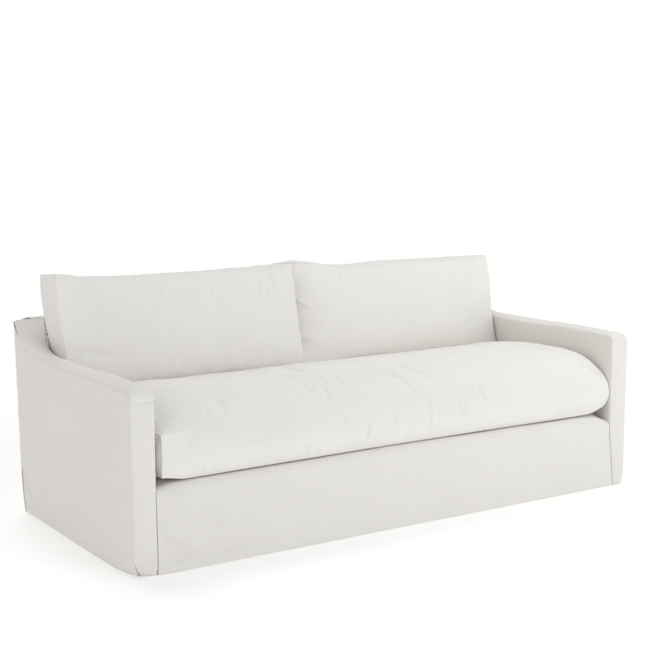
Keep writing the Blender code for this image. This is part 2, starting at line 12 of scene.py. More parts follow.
import bpy
import numpy as np
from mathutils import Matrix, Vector


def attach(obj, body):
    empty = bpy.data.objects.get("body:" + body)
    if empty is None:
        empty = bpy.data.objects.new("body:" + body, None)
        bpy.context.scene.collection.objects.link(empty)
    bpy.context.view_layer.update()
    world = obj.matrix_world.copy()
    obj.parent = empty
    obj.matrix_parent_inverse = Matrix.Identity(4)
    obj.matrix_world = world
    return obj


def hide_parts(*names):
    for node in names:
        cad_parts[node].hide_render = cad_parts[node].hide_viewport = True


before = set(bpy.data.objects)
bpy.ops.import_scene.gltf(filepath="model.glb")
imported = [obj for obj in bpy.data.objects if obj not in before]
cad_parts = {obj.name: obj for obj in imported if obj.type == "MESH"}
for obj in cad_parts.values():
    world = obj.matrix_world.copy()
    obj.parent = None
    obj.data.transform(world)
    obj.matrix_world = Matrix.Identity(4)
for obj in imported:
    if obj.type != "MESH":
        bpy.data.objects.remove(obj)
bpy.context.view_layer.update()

# ---- sizes of the cover ----
LEFT = -1                 # the two sides, as signs along the length
RIGHT = 1
LENGTH = 2.308            # over the two outside arms
DEPTH = 1.052             # arm fronts to the top of the outside back
ARM_WIDTH = 0.094
ARM_HEIGHT = 0.640
ARM_CROWN = 0.015         # the padding of an arm under its strip
CROWN_POWER = 0.6         # how full that crown is: lower is fuller at the edges
CROWN_START = 18.0        # how steeply it grows at the front of the strip
CROWN_END = 6.0           # and dies out at the back
STRIP_FULLNESS = 0.004    # extra width of a strip over its crown
ARM_FRONT_CROWN = 0.006   # padding of the narrow arm fronts
FRONT_PAD_FADE = 0.08     # it dies out over this height below their top
BACK_TOP_CROWN = 0.011    # padding of the strip over the back
BACK_TOP_FADE = 0.06      # share of its length over which that padding grows from a mitre
MITRE_CROWN = 0.007       # padding at the mitres between the strips
MITRE_START = 0.85        # share of an arm strip from where it grows
BACK_HEIGHT = 0.774       # front edge of the strip over the back
BACK_REAR_HEIGHT = 0.757  # its rear edge, where the outside back starts
BACK_THICKNESS = 0.096    # inside back to outside back, at the top
RAIL_HEIGHT = 0.319       # seat deck and the top of the front panel
RAKE = 0.2456             # how far the inside back leans back for each metre up
ROLL = 0.026              # radius of the cloth over a padded frame edge
ROLL_END = 0.010          # flat cloth between such a roll and its seam
CREVICE = 0.060           # how far the inside panels run down past the seat deck
CATCH_UP = 0.95           # share of an arm's top line from where the columns line up with the back
DECK_RISE = 0.10          # the deck rises from the rail over this depth
DECK_GAP = 0.003          # it stays this far from the inside arms
DECK_REAR_GAP = 0.002     # and this far from the inside back
DECK_SINK = 0.0006        # and lies this far lower than its solid's face
BACK_INSET = 0.003        # the inside back narrows this much between the arm strips
SQUEEZE = 0.030           # over this height
BACK_GAP = 0.0005         # between the inside back and an inside arm
TUCK_REACH = 0.16         # how far along the hem a floor corner is rounded
TUCK_HEIGHT = 0.075       # and how far up
TUCK = {LEFT: 0.036, RIGHT: 0.006}         # how far the hem is pulled in there
HEM_LEAN = {LEFT: 0.006, RIGHT: 0.000}     # how far an outside arm hangs in at the floor
HEM_GAP = 0.0008          # hem above the floor
SEAM_SHIFT = {LEFT: -0.004, RIGHT: 0.030}  # how far the seam beside an arm front drifts at the floor
DRIFT_TOP = RAIL_HEIGHT - CREVICE - 0.006  # and the height where the drift ends
BELOW_FLOOR = -0.1        # the border line of a side panel runs on to here

SIDE = LENGTH / 2
FRONT = -DEPTH / 2
INNER = SIDE - ARM_WIDTH

CLOTH = 0.0022            # thickness of the cloth
HALF_SEAM = 0.0002        # half the gap between two panels at their seam
SEAM_ROUND = 0.007        # radius of the cloth over a seam on an edge
INNER_ROUND = SEAM_ROUND * 0.6  # and over the seam between an arm front and the front panel
SEAM_SINK = 0.0010        # how far a stitched seam lies below the cloth beside it
SEAM_SINK_REACH = 0.0030
HEM_DEPTH = 0.040         # height of the turned-up hem
HEM_STITCH = 0.0006       # how far its stitches pull the cloth in
STITCH_WIDTH = 0.0022
HEM_WANDER = 0.0015       # how far its stitch line strays from level
WANDER_LENGTH = 0.3       # over such lengths
CELL = 0.0065             # size of a mesh cell on a panel
REAR_CELL = 0.008         # on the outside back
HIDDEN_CELL = 0.012       # on the inside back, across
HIDDEN_ROW = 0.010        # and up
DECK_GRID = (160, 64)     # grid lines of the seat deck
CLOSE_LINES = np.array([0.0, 0.0012, 0.0025, 0.0042, 0.0065, 0.0095, 0.0130])  # beside a seam
FADE = 0.050              # folds fade out over this distance from a seam
EDGE_FADE = 0.03          # and on the front panel over this distance from an arm front
WIDE_CALM = 0.04          # slow waviness dies out over this distance from a wide panel's seam
CALM = 0.03               # from a strip's or a cushion's
NARROW_CALM = 0.02        # and from a narrow panel's
NARROW_WAVES = 2.5        # how much closer the waves of a narrow arm front stand

SEAT_LEFT = 1.036         # ends of the bench cushion, from the middle
SEAT_RIGHT = 1.057
SEAT_DEPTH = 0.840
SEAT_EDGE = 0.484         # height of its top seam
SEAT_SHELF = 0.520        # where the back cushions press it flat
SHELF_START = 0.728       # that shelf's front edge, from the arm fronts
SHELF_RAMP = 0.080        # the crown falls to the shelf over this depth
SHELF_LEAD = 0.02         # the shelf is full this far before its front edge
SHELF_END = 0.03          # and starts this far from the two ends
CUSHION_GAP = 0.0004      # between a cushion and what it lies on
SEAT_LIFT = 0.0035        # how far the bottom seam lies over the deck
UNDER_REACH = 0.10        # the bottom comes down from its seam to the deck over this distance
CORNER_LIFT = 0.015       # and how much more that seam is lifted at the soft left corners
CORNER_REACH = 0.070
ROUND_LIFT = 0.020        # the right end is rounder: its bottom corners lift more
ROUND_REACH = 0.075
ROUND_DRAW = 0.004        # and its upright corner is drawn back
ROUND_DRAW_REACH = 0.010
SAG_SHARE = 0.6           # how much of the rail's drop the front seam follows
SAG_REACH = 0.03          # how far back it does
WAVE_STRETCH = 1.3        # the crown's unevenness ends this much before the back seam
STRAIGHT_END = 0.15       # share of the front boxing's line that is left at the square left end
STRAIGHT_REACH = 0.16     # how far from that end the boxing has its full line
FRONT_REACH = 0.07        # how far back the front boxing's line still tells
LEFT_START = 0.03         # the left end's line grows over this distance from the front
LEFT_REACH = 0.03         # how far inwards the lines of the two ends tell
RIGHT_REACH = 0.05

CUSHION_FRONT = 0.733     # front seam of the back cushions at the shelf
CUSHION_THICKNESS = 0.152
CUSHION_SIDE = 1.053      # outer side, from the middle
CUSHION_SEAM = 0.001      # half the gap between the two cushions
CUSHION_BULGE = 0.046     # crown of the front face
FULL_WIDE = 0.6           # how full that crown is across and up: lower is fuller at the seams
FULL_HIGH = 0.7
SOFT_END = 0.5            # the same for the fullness of a boxing along its length
REAR_BULGE = 0.003        # fullness against the inside back
TOP_PUFF = 0.008          # the top boxing between its two seams
OUTER_PUFF = 0.003        # the outer boxing between its two seams
TOP_ONLY = 6              # how strongly the top's own shape is kept to the top
REAR_CORNER_DROP = 0.016  # the rear top corners hang lower than the front ones
OUTER_DROP_REACH = 0.12   # how far in from the outer side they do
INNER_DROP_REACH = 0.10   # and from the middle
VALLEY_DEPTH = 0.040      # the right back cushion falls away towards the seam at the middle
VALLEY_REACH = 0.085
OVERHANG_REACH = 0.060    # how far inwards a back cushion's overhang over the arm tells

# ---- tables ----
# The two edges of an arm strip behind its front roll: distance from the arm fronts, height.
ArmStation = namedtuple("ArmStation", "outer_y outer_z inner_y inner_z")
ARM_STATIONS = (
    ArmStation(0.028, 0.640, 0.028, 0.642),
    ArmStation(0.280, 0.641, 0.280, 0.646),
    ArmStation(0.560, 0.638, 0.560, 0.636),
    ArmStation(0.790, 0.638, 0.790, 0.636),
    ArmStation(0.890, 0.652, 0.880, 0.646),
    ArmStation(0.965, 0.684, 0.928, 0.674),
    ArmStation(1.022, 0.719, 0.943, 0.722),
    ArmStation(1.046, 0.757, 0.956, 0.774),
)
# The outside back: height, distance from the arm fronts.
BACK_LEAN = ((0.000, 0.992), (0.040, 1.006), (0.085, 1.015), (0.205, 1.026), (0.365, 1.034),
             (0.525, 1.042), (0.663, 1.049), (0.731, 1.052), (0.800, 1.052))
# How much lower the seat rail's edge hangs: place along the length, drop.
RAIL_DROP = ((-1.060, 0.016), (-1.000, 0.007), (-0.850, 0.006), (-0.500, 0.003), (-0.050, 0.000),
             (0.450, 0.002), (0.780, 0.005), (0.950, 0.007), (1.000, 0.014), (1.060, 0.034))
# Top of the bench cushion: distance from its front, height over its top seam.
SEAT_CROWN = ((0.000, 0.000), (0.020, 0.020), (0.050, 0.040), (0.100, 0.062), (0.170, 0.080),
              (0.270, 0.091), (0.400, 0.090), (0.530, 0.079), (0.640, 0.061), (0.708, 0.048),
              (0.728, 0.036), (0.800, 0.036), (0.840, 0.000))
# How much of that height is left: distance from the left or right end, share.
SEAT_END_LEFT = ((0.000, 0.00), (0.025, 0.36), (0.060, 0.66), (0.110, 0.86), (0.200, 1.00), (0.3, 1.0))
SEAT_END_RIGHT = ((0.000, 0.46), (0.025, 0.84), (0.060, 0.95), (0.110, 0.98), (0.200, 0.99), (0.3, 1.0))
# The boxing of the bench cushion, up from its bottom seam: how far the front lies back, and how far the
# left and right ends lie inwards.
SEAT_FRONT_LINE = ((0.00, 0.022), (0.12, 0.011), (0.30, 0.002), (0.45, 0.000), (0.60, 0.003),
                   (0.80, 0.013), (1.00, 0.034))
SEAT_LEFT_LINE = ((0.00, 0.002), (0.12, -0.005), (0.30, -0.010), (0.45, -0.012), (0.60, -0.011),
                  (0.80, -0.008), (1.00, 0.002))
SEAT_RIGHT_LINE = ((0.00, 0.010), (0.12, 0.005), (0.30, 0.001), (0.45, 0.000), (0.60, 0.000),
                   (0.80, 0.001), (1.00, 0.006))
# Unevenness of its top: place along the length, height.
SEAT_WAVES = ((-1.036, 0.000), (-0.830, 0.007), (-0.610, -0.005), (-0.250, -0.002), (0.050, 0.002),
              (0.350, -0.002), (0.640, 0.002), (1.050, 0.000))
# Top lines of the back cushions: distance from the middle, height.
TOP_LEFT = ((0.001, 0.941), (0.045, 0.932), (0.100, 0.922), (0.240, 0.919), (0.390, 0.916),
            (0.600, 0.916), (0.850, 0.922), (0.930, 0.930), (0.990, 0.945), (1.053, 0.958))
TOP_RIGHT = ((0.001, 0.943), (0.060, 0.939), (0.150, 0.925), (0.240, 0.909), (0.360, 0.903),
             (0.530, 0.909), (0.900, 0.906), (0.970, 0.910), (1.053, 0.921))
# A back cushion overhangs the arm: height, how far.
OVERHANG = ((0.520, 0.000), (0.660, 0.000), (0.700, 0.004), (0.760, 0.010), (0.850, 0.013),
            (0.920, 0.010), (0.960, 0.004))

# Folds on a panel: a curve from a over m to b, its half widths to the left and to the right of that
# direction, and how far it stands out.
Fold = namedtuple("Fold", "along_a up_a along_m up_m along_b up_b left right rise")
FRONT_FOLDS = (
    Fold(-1.060, 0.312, -0.860, 0.150, -0.430, 0.030, 0.060, 0.034, 0.016),
    Fold(-1.060, 0.205, -0.985, 0.110, -0.860, 0.046, 0.030, 0.020, 0.009),
    Fold(-1.062, 0.150, -1.020, 0.116, -0.965, 0.090, 0.010, 0.010, -0.006),
    Fold(-1.060, 0.122, -1.000, 0.086, -0.900, 0.074, 0.010, 0.012, 0.004),
    Fold(-1.064, 0.046, -0.900, 0.046, -0.660, 0.040, 0.030, 0.012, -0.009),
    Fold(-0.420, 0.070, -0.250, 0.060, -0.080, 0.045, 0.060, 0.060, -0.005),
    Fold(0.000, 0.110, 0.130, 0.070, 0.280, 0.050, 0.070, 0.070, -0.006),
    Fold(0.450, 0.200, 0.470, 0.120, 0.480, 0.040, 0.060, 0.060, 0.004),
    Fold(0.600, 0.120, 0.800, 0.100, 1.000, 0.075, 0.060, 0.060, -0.005),
)
SIDE_FOLDS = {
    LEFT: (
        Fold(0.860, 0.240, 0.950, 0.320, 1.045, 0.425, 0.045, 0.030, 0.007),
        Fold(0.700, 0.020, 0.930, 0.060, 1.035, 0.190, 0.050, 0.030, -0.010),
        Fold(0.740, 0.080, 0.900, 0.150, 1.010, 0.290, 0.050, 0.050, 0.007),
        Fold(0.420, 0.500, 0.470, 0.560, 0.540, 0.610, 0.050, 0.040, -0.003),
        Fold(0.050, 0.450, 0.080, 0.540, 0.130, 0.590, 0.040, 0.030, -0.003),
    ),
    RIGHT: (
        Fold(0.800, 0.100, 0.920, 0.200, 1.000, 0.320, 0.060, 0.060, 0.007),
        Fold(0.290, 0.030, 0.330, 0.120, 0.370, 0.240, 0.060, 0.060, 0.005),
        Fold(0.590, 0.030, 0.620, 0.100, 0.650, 0.200, 0.060, 0.060, -0.005),
    ),
}
BACK_FOLDS = (
    Fold(-0.850, 0.030, -0.880, 0.150, -0.910, 0.300, 0.070, 0.070, 0.006),
    Fold(-0.300, 0.030, -0.310, 0.120, -0.340, 0.220, 0.070, 0.070, -0.005),
    Fold(0.310, 0.030, 0.290, 0.130, 0.270, 0.240, 0.070, 0.070, 0.005),
    Fold(0.910, 0.030, 0.880, 0.160, 0.850, 0.300, 0.070, 0.070, 0.006),
)
# Narrower drags that show on the outside back only.
BACK_DRAGS = (
    Fold(-1.040, 0.730, -1.000, 0.520, -1.015, 0.300, 0.022, 0.030, 0.0034),
    Fold(-0.960, 0.740, -0.930, 0.600, -0.945, 0.420, 0.018, 0.024, -0.0030),
    Fold(-0.700, 0.040, -0.690, 0.220, -0.735, 0.460, 0.030, 0.020, 0.0036),
    Fold(-0.470, 0.735, -0.455, 0.640, -0.480, 0.500, 0.016, 0.022, -0.0026),
    Fold(-0.120, 0.035, -0.135, 0.180, -0.110, 0.340, 0.020, 0.032, 0.0034),
    Fold(0.060, 0.735, 0.085, 0.610, 0.070, 0.450, 0.020, 0.020, -0.0026),
    Fold(0.540, 0.035, 0.560, 0.200, 0.520, 0.420, 0.024, 0.024, 0.0036),
    Fold(0.640, 0.738, 0.620, 0.620, 0.635, 0.470, 0.018, 0.024, -0.0028),
    Fold(1.020, 0.735, 0.985, 0.540, 1.005, 0.330, 0.030, 0.020, 0.0036),
)
FOLD_STEPS = 12           # straight pieces that stand for a fold's curve
FOLD_START = 5.0          # how steeply a fold grows at its start
FOLD_END = 3.0            # and dies out at its end
FOLD_FALL = 1.7           # how sharply its sides fall away


# ---- numbers ----
def mix(a, b, share):
    return a + (b - a) * share


def smooth(value):
    value = np.clip(value, 0.0, 1.0)
    return value * value * (3.0 - 2.0 * value)


def read_curve(rows, place):
    """Smooth curve through a table of (place, value) rows, level past both ends."""
    places, values = (np.array(column) for column in zip(*rows))
    slopes = np.diff(values) / np.diff(places)
    tangents = np.concatenate([[slopes[0]], (slopes[1:] + slopes[:-1]) / 2, [slopes[-1]]])
    flat = np.concatenate([[False], slopes[1:] * slopes[:-1] <= 0.0, [False]])
    tangents[flat] = 0.0
    place = np.clip(place, places[0], places[-1])
    row = np.clip(np.searchsorted(places, place) - 1, 0, len(places) - 2)
    width = places[row + 1] - places[row]
    t = (place - places[row]) / width
    return (values[row] * (1 + 2 * t) * (1 - t) ** 2 + values[row + 1] * t * t * (3 - 2 * t)
            + tangents[row] * width * t * (1 - t) ** 2 - tangents[row + 1] * width * t * t * (1 - t))


def noise(x, y, seed):
    """Smooth random field from -1 to 1, with cells one unit wide."""
    cells = 64
    table = np.random.RandomState(seed).uniform(-1.0, 1.0, (cells, cells))
    column, row = np.floor(x).astype(int), np.floor(y).astype(int)
    across, up = smooth(x - column), smooth(y - row)

    def corner(i, j):
        return table[(column + i) % cells, (row + j) % cells]

    return mix(mix(corner(0, 0), corner(1, 0), across), mix(corner(0, 1), corner(1, 1), across), up)


def fold_rise(folds, along, up):
    """How far soft ridges and troughs carry the points of a panel outwards."""
    total = np.zeros(np.shape(along))
    for fold in folds:
        share = np.linspace(0.0, 1.0, FOLD_STEPS + 1)
        curve = [(1 - share) ** 2 * a + 2 * share * (1 - share) * m + share ** 2 * b
                 for a, m, b in ((fold.along_a, fold.along_m, fold.along_b),
                                 (fold.up_a, fold.up_m, fold.up_b))]
        nearest = np.full(np.shape(along), np.inf)
        side = np.zeros(np.shape(along))
        place = np.zeros(np.shape(along))
        for step in range(FOLD_STEPS):
            start_x, start_y = curve[0][step], curve[1][step]
            run_x, run_y = curve[0][step + 1] - start_x, curve[1][step + 1] - start_y
            t = np.clip(((along - start_x) * run_x + (up - start_y) * run_y)
                        / (run_x ** 2 + run_y ** 2), 0.0, 1.0)
            off_x, off_y = along - start_x - run_x * t, up - start_y - run_y * t
            distance = np.hypot(off_x, off_y)
            closer = distance < nearest
            nearest = np.where(closer, distance, nearest)
            side = np.where(closer, run_x * off_y - run_y * off_x, side)
            place = np.where(closer, (step + t) / FOLD_STEPS, place)
        fade = smooth(place * FOLD_START) * smooth((1.0 - place) * FOLD_END)
        width = np.where(side > 0.0, fold.left, fold.right)
        total += fold.rise * fade * np.exp(-(nearest / width) ** FOLD_FALL)
    return total


def spaced(length, cell, close_start=True, close_end=True):
    """Shares of a length for grid lines: even cells, and close ones beside a seam."""
    first = CLOSE_LINES if close_start else np.array([0.0])
    last = length - CLOSE_LINES[::-1] if close_end else np.array([length])
    count = max(2, round((last[0] - first[-1]) / cell))
    middle = np.linspace(first[-1], last[0], count + 1)[1:-1]
    return np.concatenate([first, middle, last]) / length


# ---- the outer form that the panels share ----
def back_face(z):
    return FRONT + read_curve(BACK_LEAN, z)


def inside_back_face(z):
    return FRONT + DEPTH - BACK_THICKNESS - (BACK_HEIGHT - z) * RAKE


def corner_tuck(distance, z, side):
    near = np.maximum(0.0, 1.0 - distance / TUCK_REACH) ** 2
    low = np.maximum(0.0, 1.0 - z / TUCK_HEIGHT) ** 2
    return np.where(side < 0, TUCK[LEFT], TUCK[RIGHT]) * near * low


def side_face(y, z, side):
    """Outer face of an outside arm, as a distance from the middle."""
    from_front = y - FRONT
    seam_fade = smooth(from_front / FADE) * smooth((ARM_HEIGHT - z) / FADE)
    lean = HEM_LEAN[side] * (1.0 - np.minimum(z / ARM_HEIGHT, 1.0)) ** 2
    rise = fold_rise(SIDE_FOLDS[side], from_front, z) * seam_fade
    return SIDE - lean + rise - corner_tuck(from_front, z, side)


def front_face(x, z):
    return FRONT + corner_tuck(SIDE - np.abs(x), z, np.sign(x))


def front_seam(z, side):
    """Where the front panel meets an arm front, as a distance from the middle."""
    return INNER + SEAM_SHIFT[side] * np.maximum(0.0, 1.0 - z / DRIFT_TOP)


def rail_height(x):
    return RAIL_HEIGHT - read_curve(RAIL_DROP, x)


PATH_POINTS = 600         # points on each edge of an arm strip
ROLL_POINTS = 24          # of the roll at its front
CURVE_POINTS = 200        # of its curve over the stations


def arm_paths():
    """Outer and inner edge of an arm strip as (y, z) rows, evenly spaced, and the strip's length."""
    angles = np.linspace(0.0, math.pi / 2, ROLL_POINTS)[:-1]
    roll = [(FRONT + ROLL * (1 - math.cos(a)), ARM_HEIGHT - ROLL * (1 - math.sin(a))) for a in angles]
    start = [(FRONT, ARM_HEIGHT - ROLL - ROLL_END)]
    shares = np.linspace(0.0, len(ARM_STATIONS) - 1, CURVE_POINTS)
    stations = [[(step, value) for step, value in enumerate(column)] for column in zip(*ARM_STATIONS)]
    outer_y, outer_z, inner_y, inner_z = (read_curve(rows, shares) for rows in stations)
    outer = np.array(start + roll + list(zip(outer_y + FRONT, outer_z)))
    inner = np.array(start + roll + list(zip(inner_y + FRONT, inner_z)))
    middle = (outer + inner) / 2
    run = np.concatenate([[0.0], np.cumsum(np.hypot(*np.diff(middle, axis=0).T))])
    even = np.linspace(0.0, run[-1], PATH_POINTS)
    resample = [np.stack([np.interp(even, run, path[:, k]) for k in (0, 1)], -1)
                for path in (outer, inner)]
    return resample[0], resample[1], run[-1]


ARM_OUTER, ARM_INNER, ARM_STRIP = arm_paths()


def on_path(path, share):
    """Points (y, z) at shares of an evenly spaced path."""
    place = np.linspace(0.0, 1.0, len(path))
    return np.interp(share, place, path[:, 0]), np.interp(share, place, path[:, 1])


# ---- sheets of cloth ----
# Gathers beside a seam: how deep they are, how far they run from it, and how far apart they stand.
Gather = namedtuple("Gather", "depth reach wave")
STRIP_END = Gather(0.0030, 0.035, 0.014)          # both kinds at the mitred end of an arm strip
STRIP_MITRE = Gather(0.0042, 0.080, 0.022)
STRIP_FRONT = Gather(0.0010, 0.015, 0.012)
OUTSIDE_EDGE = Gather(0.0009, 0.014, 0.013)
INSIDE_EDGE = Gather(0.0012, 0.02, 0.013)
ARM_FRONT_EDGE = Gather(0.0009, 0.012, 0.014)
FRONT_PANEL_EDGE = Gather(0.0010, 0.018, 0.015)
BACK_STRIP_END = Gather(0.0022, 0.03, 0.014)
BACK_STRIP_EDGE = Gather(0.0008, 0.012, 0.013)
HEM_LINE = Gather(0.0006, 0.008, 0.011)
SEAT_FOOT = Gather(0.0014, 0.028, 0.022)          # bench cushion: bottom seam, top seam and ends
SEAT_RIDGE = Gather(0.0009, 0.05, 0.026)
SEAT_SIDES = Gather(0.0022, 0.03, 0.020)
BACK_CUSHION_SEAM = Gather(0.0016, 0.024, 0.020)
GATHER_STRETCH = 5        # how much longer than wide a gather is
FINE_CLOSER = 2.3         # the finer ones between them stand this much closer,
FINE_STRETCH = 4          # are this much longer than the gathers are wide
FINE_SHARE = 0.6          # and have this share of their depth

# Slow waviness: how deep the waves are, and how long along and up the cloth.
Ripple = namedtuple("Ripple", "depth along up")
PANEL_RIPPLES = (Ripple(0.0016, 0.24, 0.17), Ripple(0.0007, 0.09, 0.07), Ripple(0.00025, 0.031, 0.027))
SEAT_RIPPLES = (Ripple(0.0030, 0.13, 0.16), Ripple(0.0010, 0.05, 0.09))
BACK_RIPPLES = (Ripple(0.0028, 0.16, 0.15), Ripple(0.0010, 0.06, 0.07))


def directions(points):
    """Unit vectors across and up a grid of points, its normals, and distances along the sheet from its
    first column and its first row.
    """
    across = np.gradient(points, axis=1)
    up = np.gradient(points, axis=0)
    across /= np.linalg.norm(across, axis=2, keepdims=True) + 1e-12
    up /= np.linalg.norm(up, axis=2, keepdims=True) + 1e-12
    normal = np.cross(across, up)
    normal /= np.linalg.norm(normal, axis=2, keepdims=True) + 1e-12
    steps_across = np.linalg.norm(np.diff(points, axis=1), axis=2)
    steps_up = np.linalg.norm(np.diff(points, axis=0), axis=2)
    u = np.concatenate([np.zeros((len(points), 1)), np.cumsum(steps_across, 1)], 1)
    v = np.concatenate([np.zeros((1, points.shape[1])), np.cumsum(steps_up, 0)], 0)
    return across, up, normal, u, v


def round_border(distance, radius):
    """Half of a rounded edge: how far a point moves along the sheet, and how far it falls."""
    angle = math.pi / 4 * np.clip(1.0 - distance / radius, 0.0, 1.0)
    along = np.where(distance < radius, radius * (1 - np.sin(angle)) - distance, 0.0)
    return along + HALF_SEAM, radius * (1 - np.cos(angle))


def seam_sink(distance):
    return SEAM_SINK * np.exp(-(distance / SEAM_SINK_REACH) ** 2)


def puckers(distance, along, gather, seed):
    """Gathers that run away from a seam."""
    wave = gather.wave
    broad = noise(along / wave, distance / (wave * GATHER_STRETCH), seed)
    fine = noise(along / wave * FINE_CLOSER, distance / wave / FINE_STRETCH, seed + 1)
    return gather.depth * (broad + FINE_SHARE * fine) * np.exp(-distance / gather.reach)


def waviness(ripples, along, up, seeds):
    return sum(ripple.depth * noise(along / ripple.along, up / ripple.up, seed)
               for ripple, seed in zip(ripples, seeds))


def unevenness(u, v, seed, amount=1.0):
    """Slow waviness of cloth that hangs or is pulled over padding."""
    return amount * waviness(PANEL_RIPPLES, u, v, (seed, seed + 1, seed + 2))


def facing(normal, outward):
    """1 where the normals of a grid point outwards, and -1 where they point inwards."""
    return 1.0 if (normal * np.array(outward)).sum() > 0 else -1.0


def sheet_object(name, points, normal_sign, uv):
    """A mesh of quads over a grid of points, with its thickness behind its face."""
    rows, columns = points.shape[:2]
    index = np.arange(rows * columns).reshape(rows, columns)
    quads = np.stack([index[:-1, :-1], index[:-1, 1:], index[1:, 1:], index[1:, :-1]], -1).reshape(-1, 4)
    if normal_sign < 0:
        quads = quads[:, ::-1]
    piece = mesh_object(name, points.reshape(-1, 3), quads, uv.reshape(-1, 2))
    wall = piece.modifiers.new("cloth_thickness", "SOLIDIFY")
    wall.thickness = CLOTH
    wall.offset = -1.0
    apply_modifiers(piece)
    return piece


def mesh_object(name, points, quads, uv):
    mesh = bpy.data.meshes.new(name)
    mesh.from_pydata(points.tolist(), [], quads.tolist())
    layer = mesh.uv_layers.new(name="cloth")
    corners = np.zeros(len(mesh.loops), dtype=np.int32)
    mesh.loops.foreach_get("vertex_index", corners)
    layer.data.foreach_set("uv", uv[corners].ravel().astype(np.float32))
    mesh.shade_smooth()
    piece = bpy.data.objects.new(name, mesh)
    bpy.context.scene.collection.objects.link(piece)
    return piece


def apply_modifiers(piece):
    bpy.ops.object.select_all(action="DESELECT")
    bpy.context.view_layer.objects.active = piece
    piece.select_set(True)
    for modifier in list(piece.modifiers):
        bpy.ops.object.modifier_apply(modifier=modifier.name)
    piece.select_set(False)


def lay_sheet(node, points, outward, edges, relief, material):
    across, up, normal, u, v = directions(points)
    sign = facing(normal, outward)
    normal = normal * sign
    from_end, from_high = u[:, -1:] - u, v[-1:, :] - v
    borders = {"start": (u, across), "end": (from_end, -across),
               "low": (v, up), "high": (from_high, -up)}
    moved = points + normal * relief(u, v, from_end, from_high)[..., None]
    for edge, radius in edges.items():
        distance, inward = borders[edge]
        if radius:
            along, fall = round_border(distance, radius)
            moved = moved + inward * along[..., None] - normal * fall[..., None]
        moved = moved - normal * seam_sink(distance)[..., None]
    piece = sheet_object("cloth_" + node, moved, sign, np.stack([u, v], -1))
    declare(piece, node, material)


def declare(piece, node, material):
    """Says what holds a panel and dresses its solid with it."""
    dress(piece, node, material)


def dress(piece, node, material):
    piece.data.materials.clear()
    piece.data.materials.append(material)
    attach(piece, "root")
    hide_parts(node)


# ---- cloth ----
class Shade:
    """A socket of a material's nodes. Expressions on it add Math nodes."""

    def __init__(self, tree, socket=None):
        self.tree = tree
        self.socket = socket

    def node(self, kind, settings=None, inputs=None, output=0):
        made = self.tree.nodes.new(kind)
        for name, value in (settings or {}).items():
            setattr(made, name, value)
        for name, value in (inputs or {}).items():
            if isinstance(value, Shade):
                self.tree.links.new(value.socket, made.inputs[name])
            else:
                made.inputs[name].default_value = value
        return Shade(self.tree, made.outputs[output])

    def maths(self, operation, first, second=0.0):
        return self.node("ShaderNodeMath", {"operation": operation}, {0: first, 1: second})

    def __add__(self, other):
        return self.maths("ADD", self, other)

    __radd__ = __add__

    def __mul__(self, other):
        return self.maths("MULTIPLY", self, other)

    __rmul__ = __mul__

    def __sub__(self, other):
        return self.maths("SUBTRACT", self, other)

    def __rsub__(self, other):
        return self.maths("SUBTRACT", other, self)

    def sine(self):
        return self.maths("SINE", self)

    def absolute(self):
        return self.maths("ABSOLUTE", self)


THREADS = 900.0           # threads in a metre of the cloth, each way
CROSSING = 0.3            # how softly a thread passes under the next
SLUB_ALONG = 18.0         # thick and thin places in a metre along a thread
SLUB_ACROSS = 420.0       # and across it
CLOUDS = 3.5              # pale and dark clouds in a metre
WEAVE_TINT = 0.45         # what the weave gives to the colour as painted shade between the threads, and the slubs and the clouds as the cloth's own uneven tone
SLUB_TINT = 0.35
CLOUD_TINT = 0.35
TINT_START = 0.10
CLOTH_ROUGHNESS = 0.95
WEAVE_GLOSS = 0.08        # the tops of the threads are this much smoother
WEAVE_RELIEF = 0.6
SLUB_RELIEF = 0.7


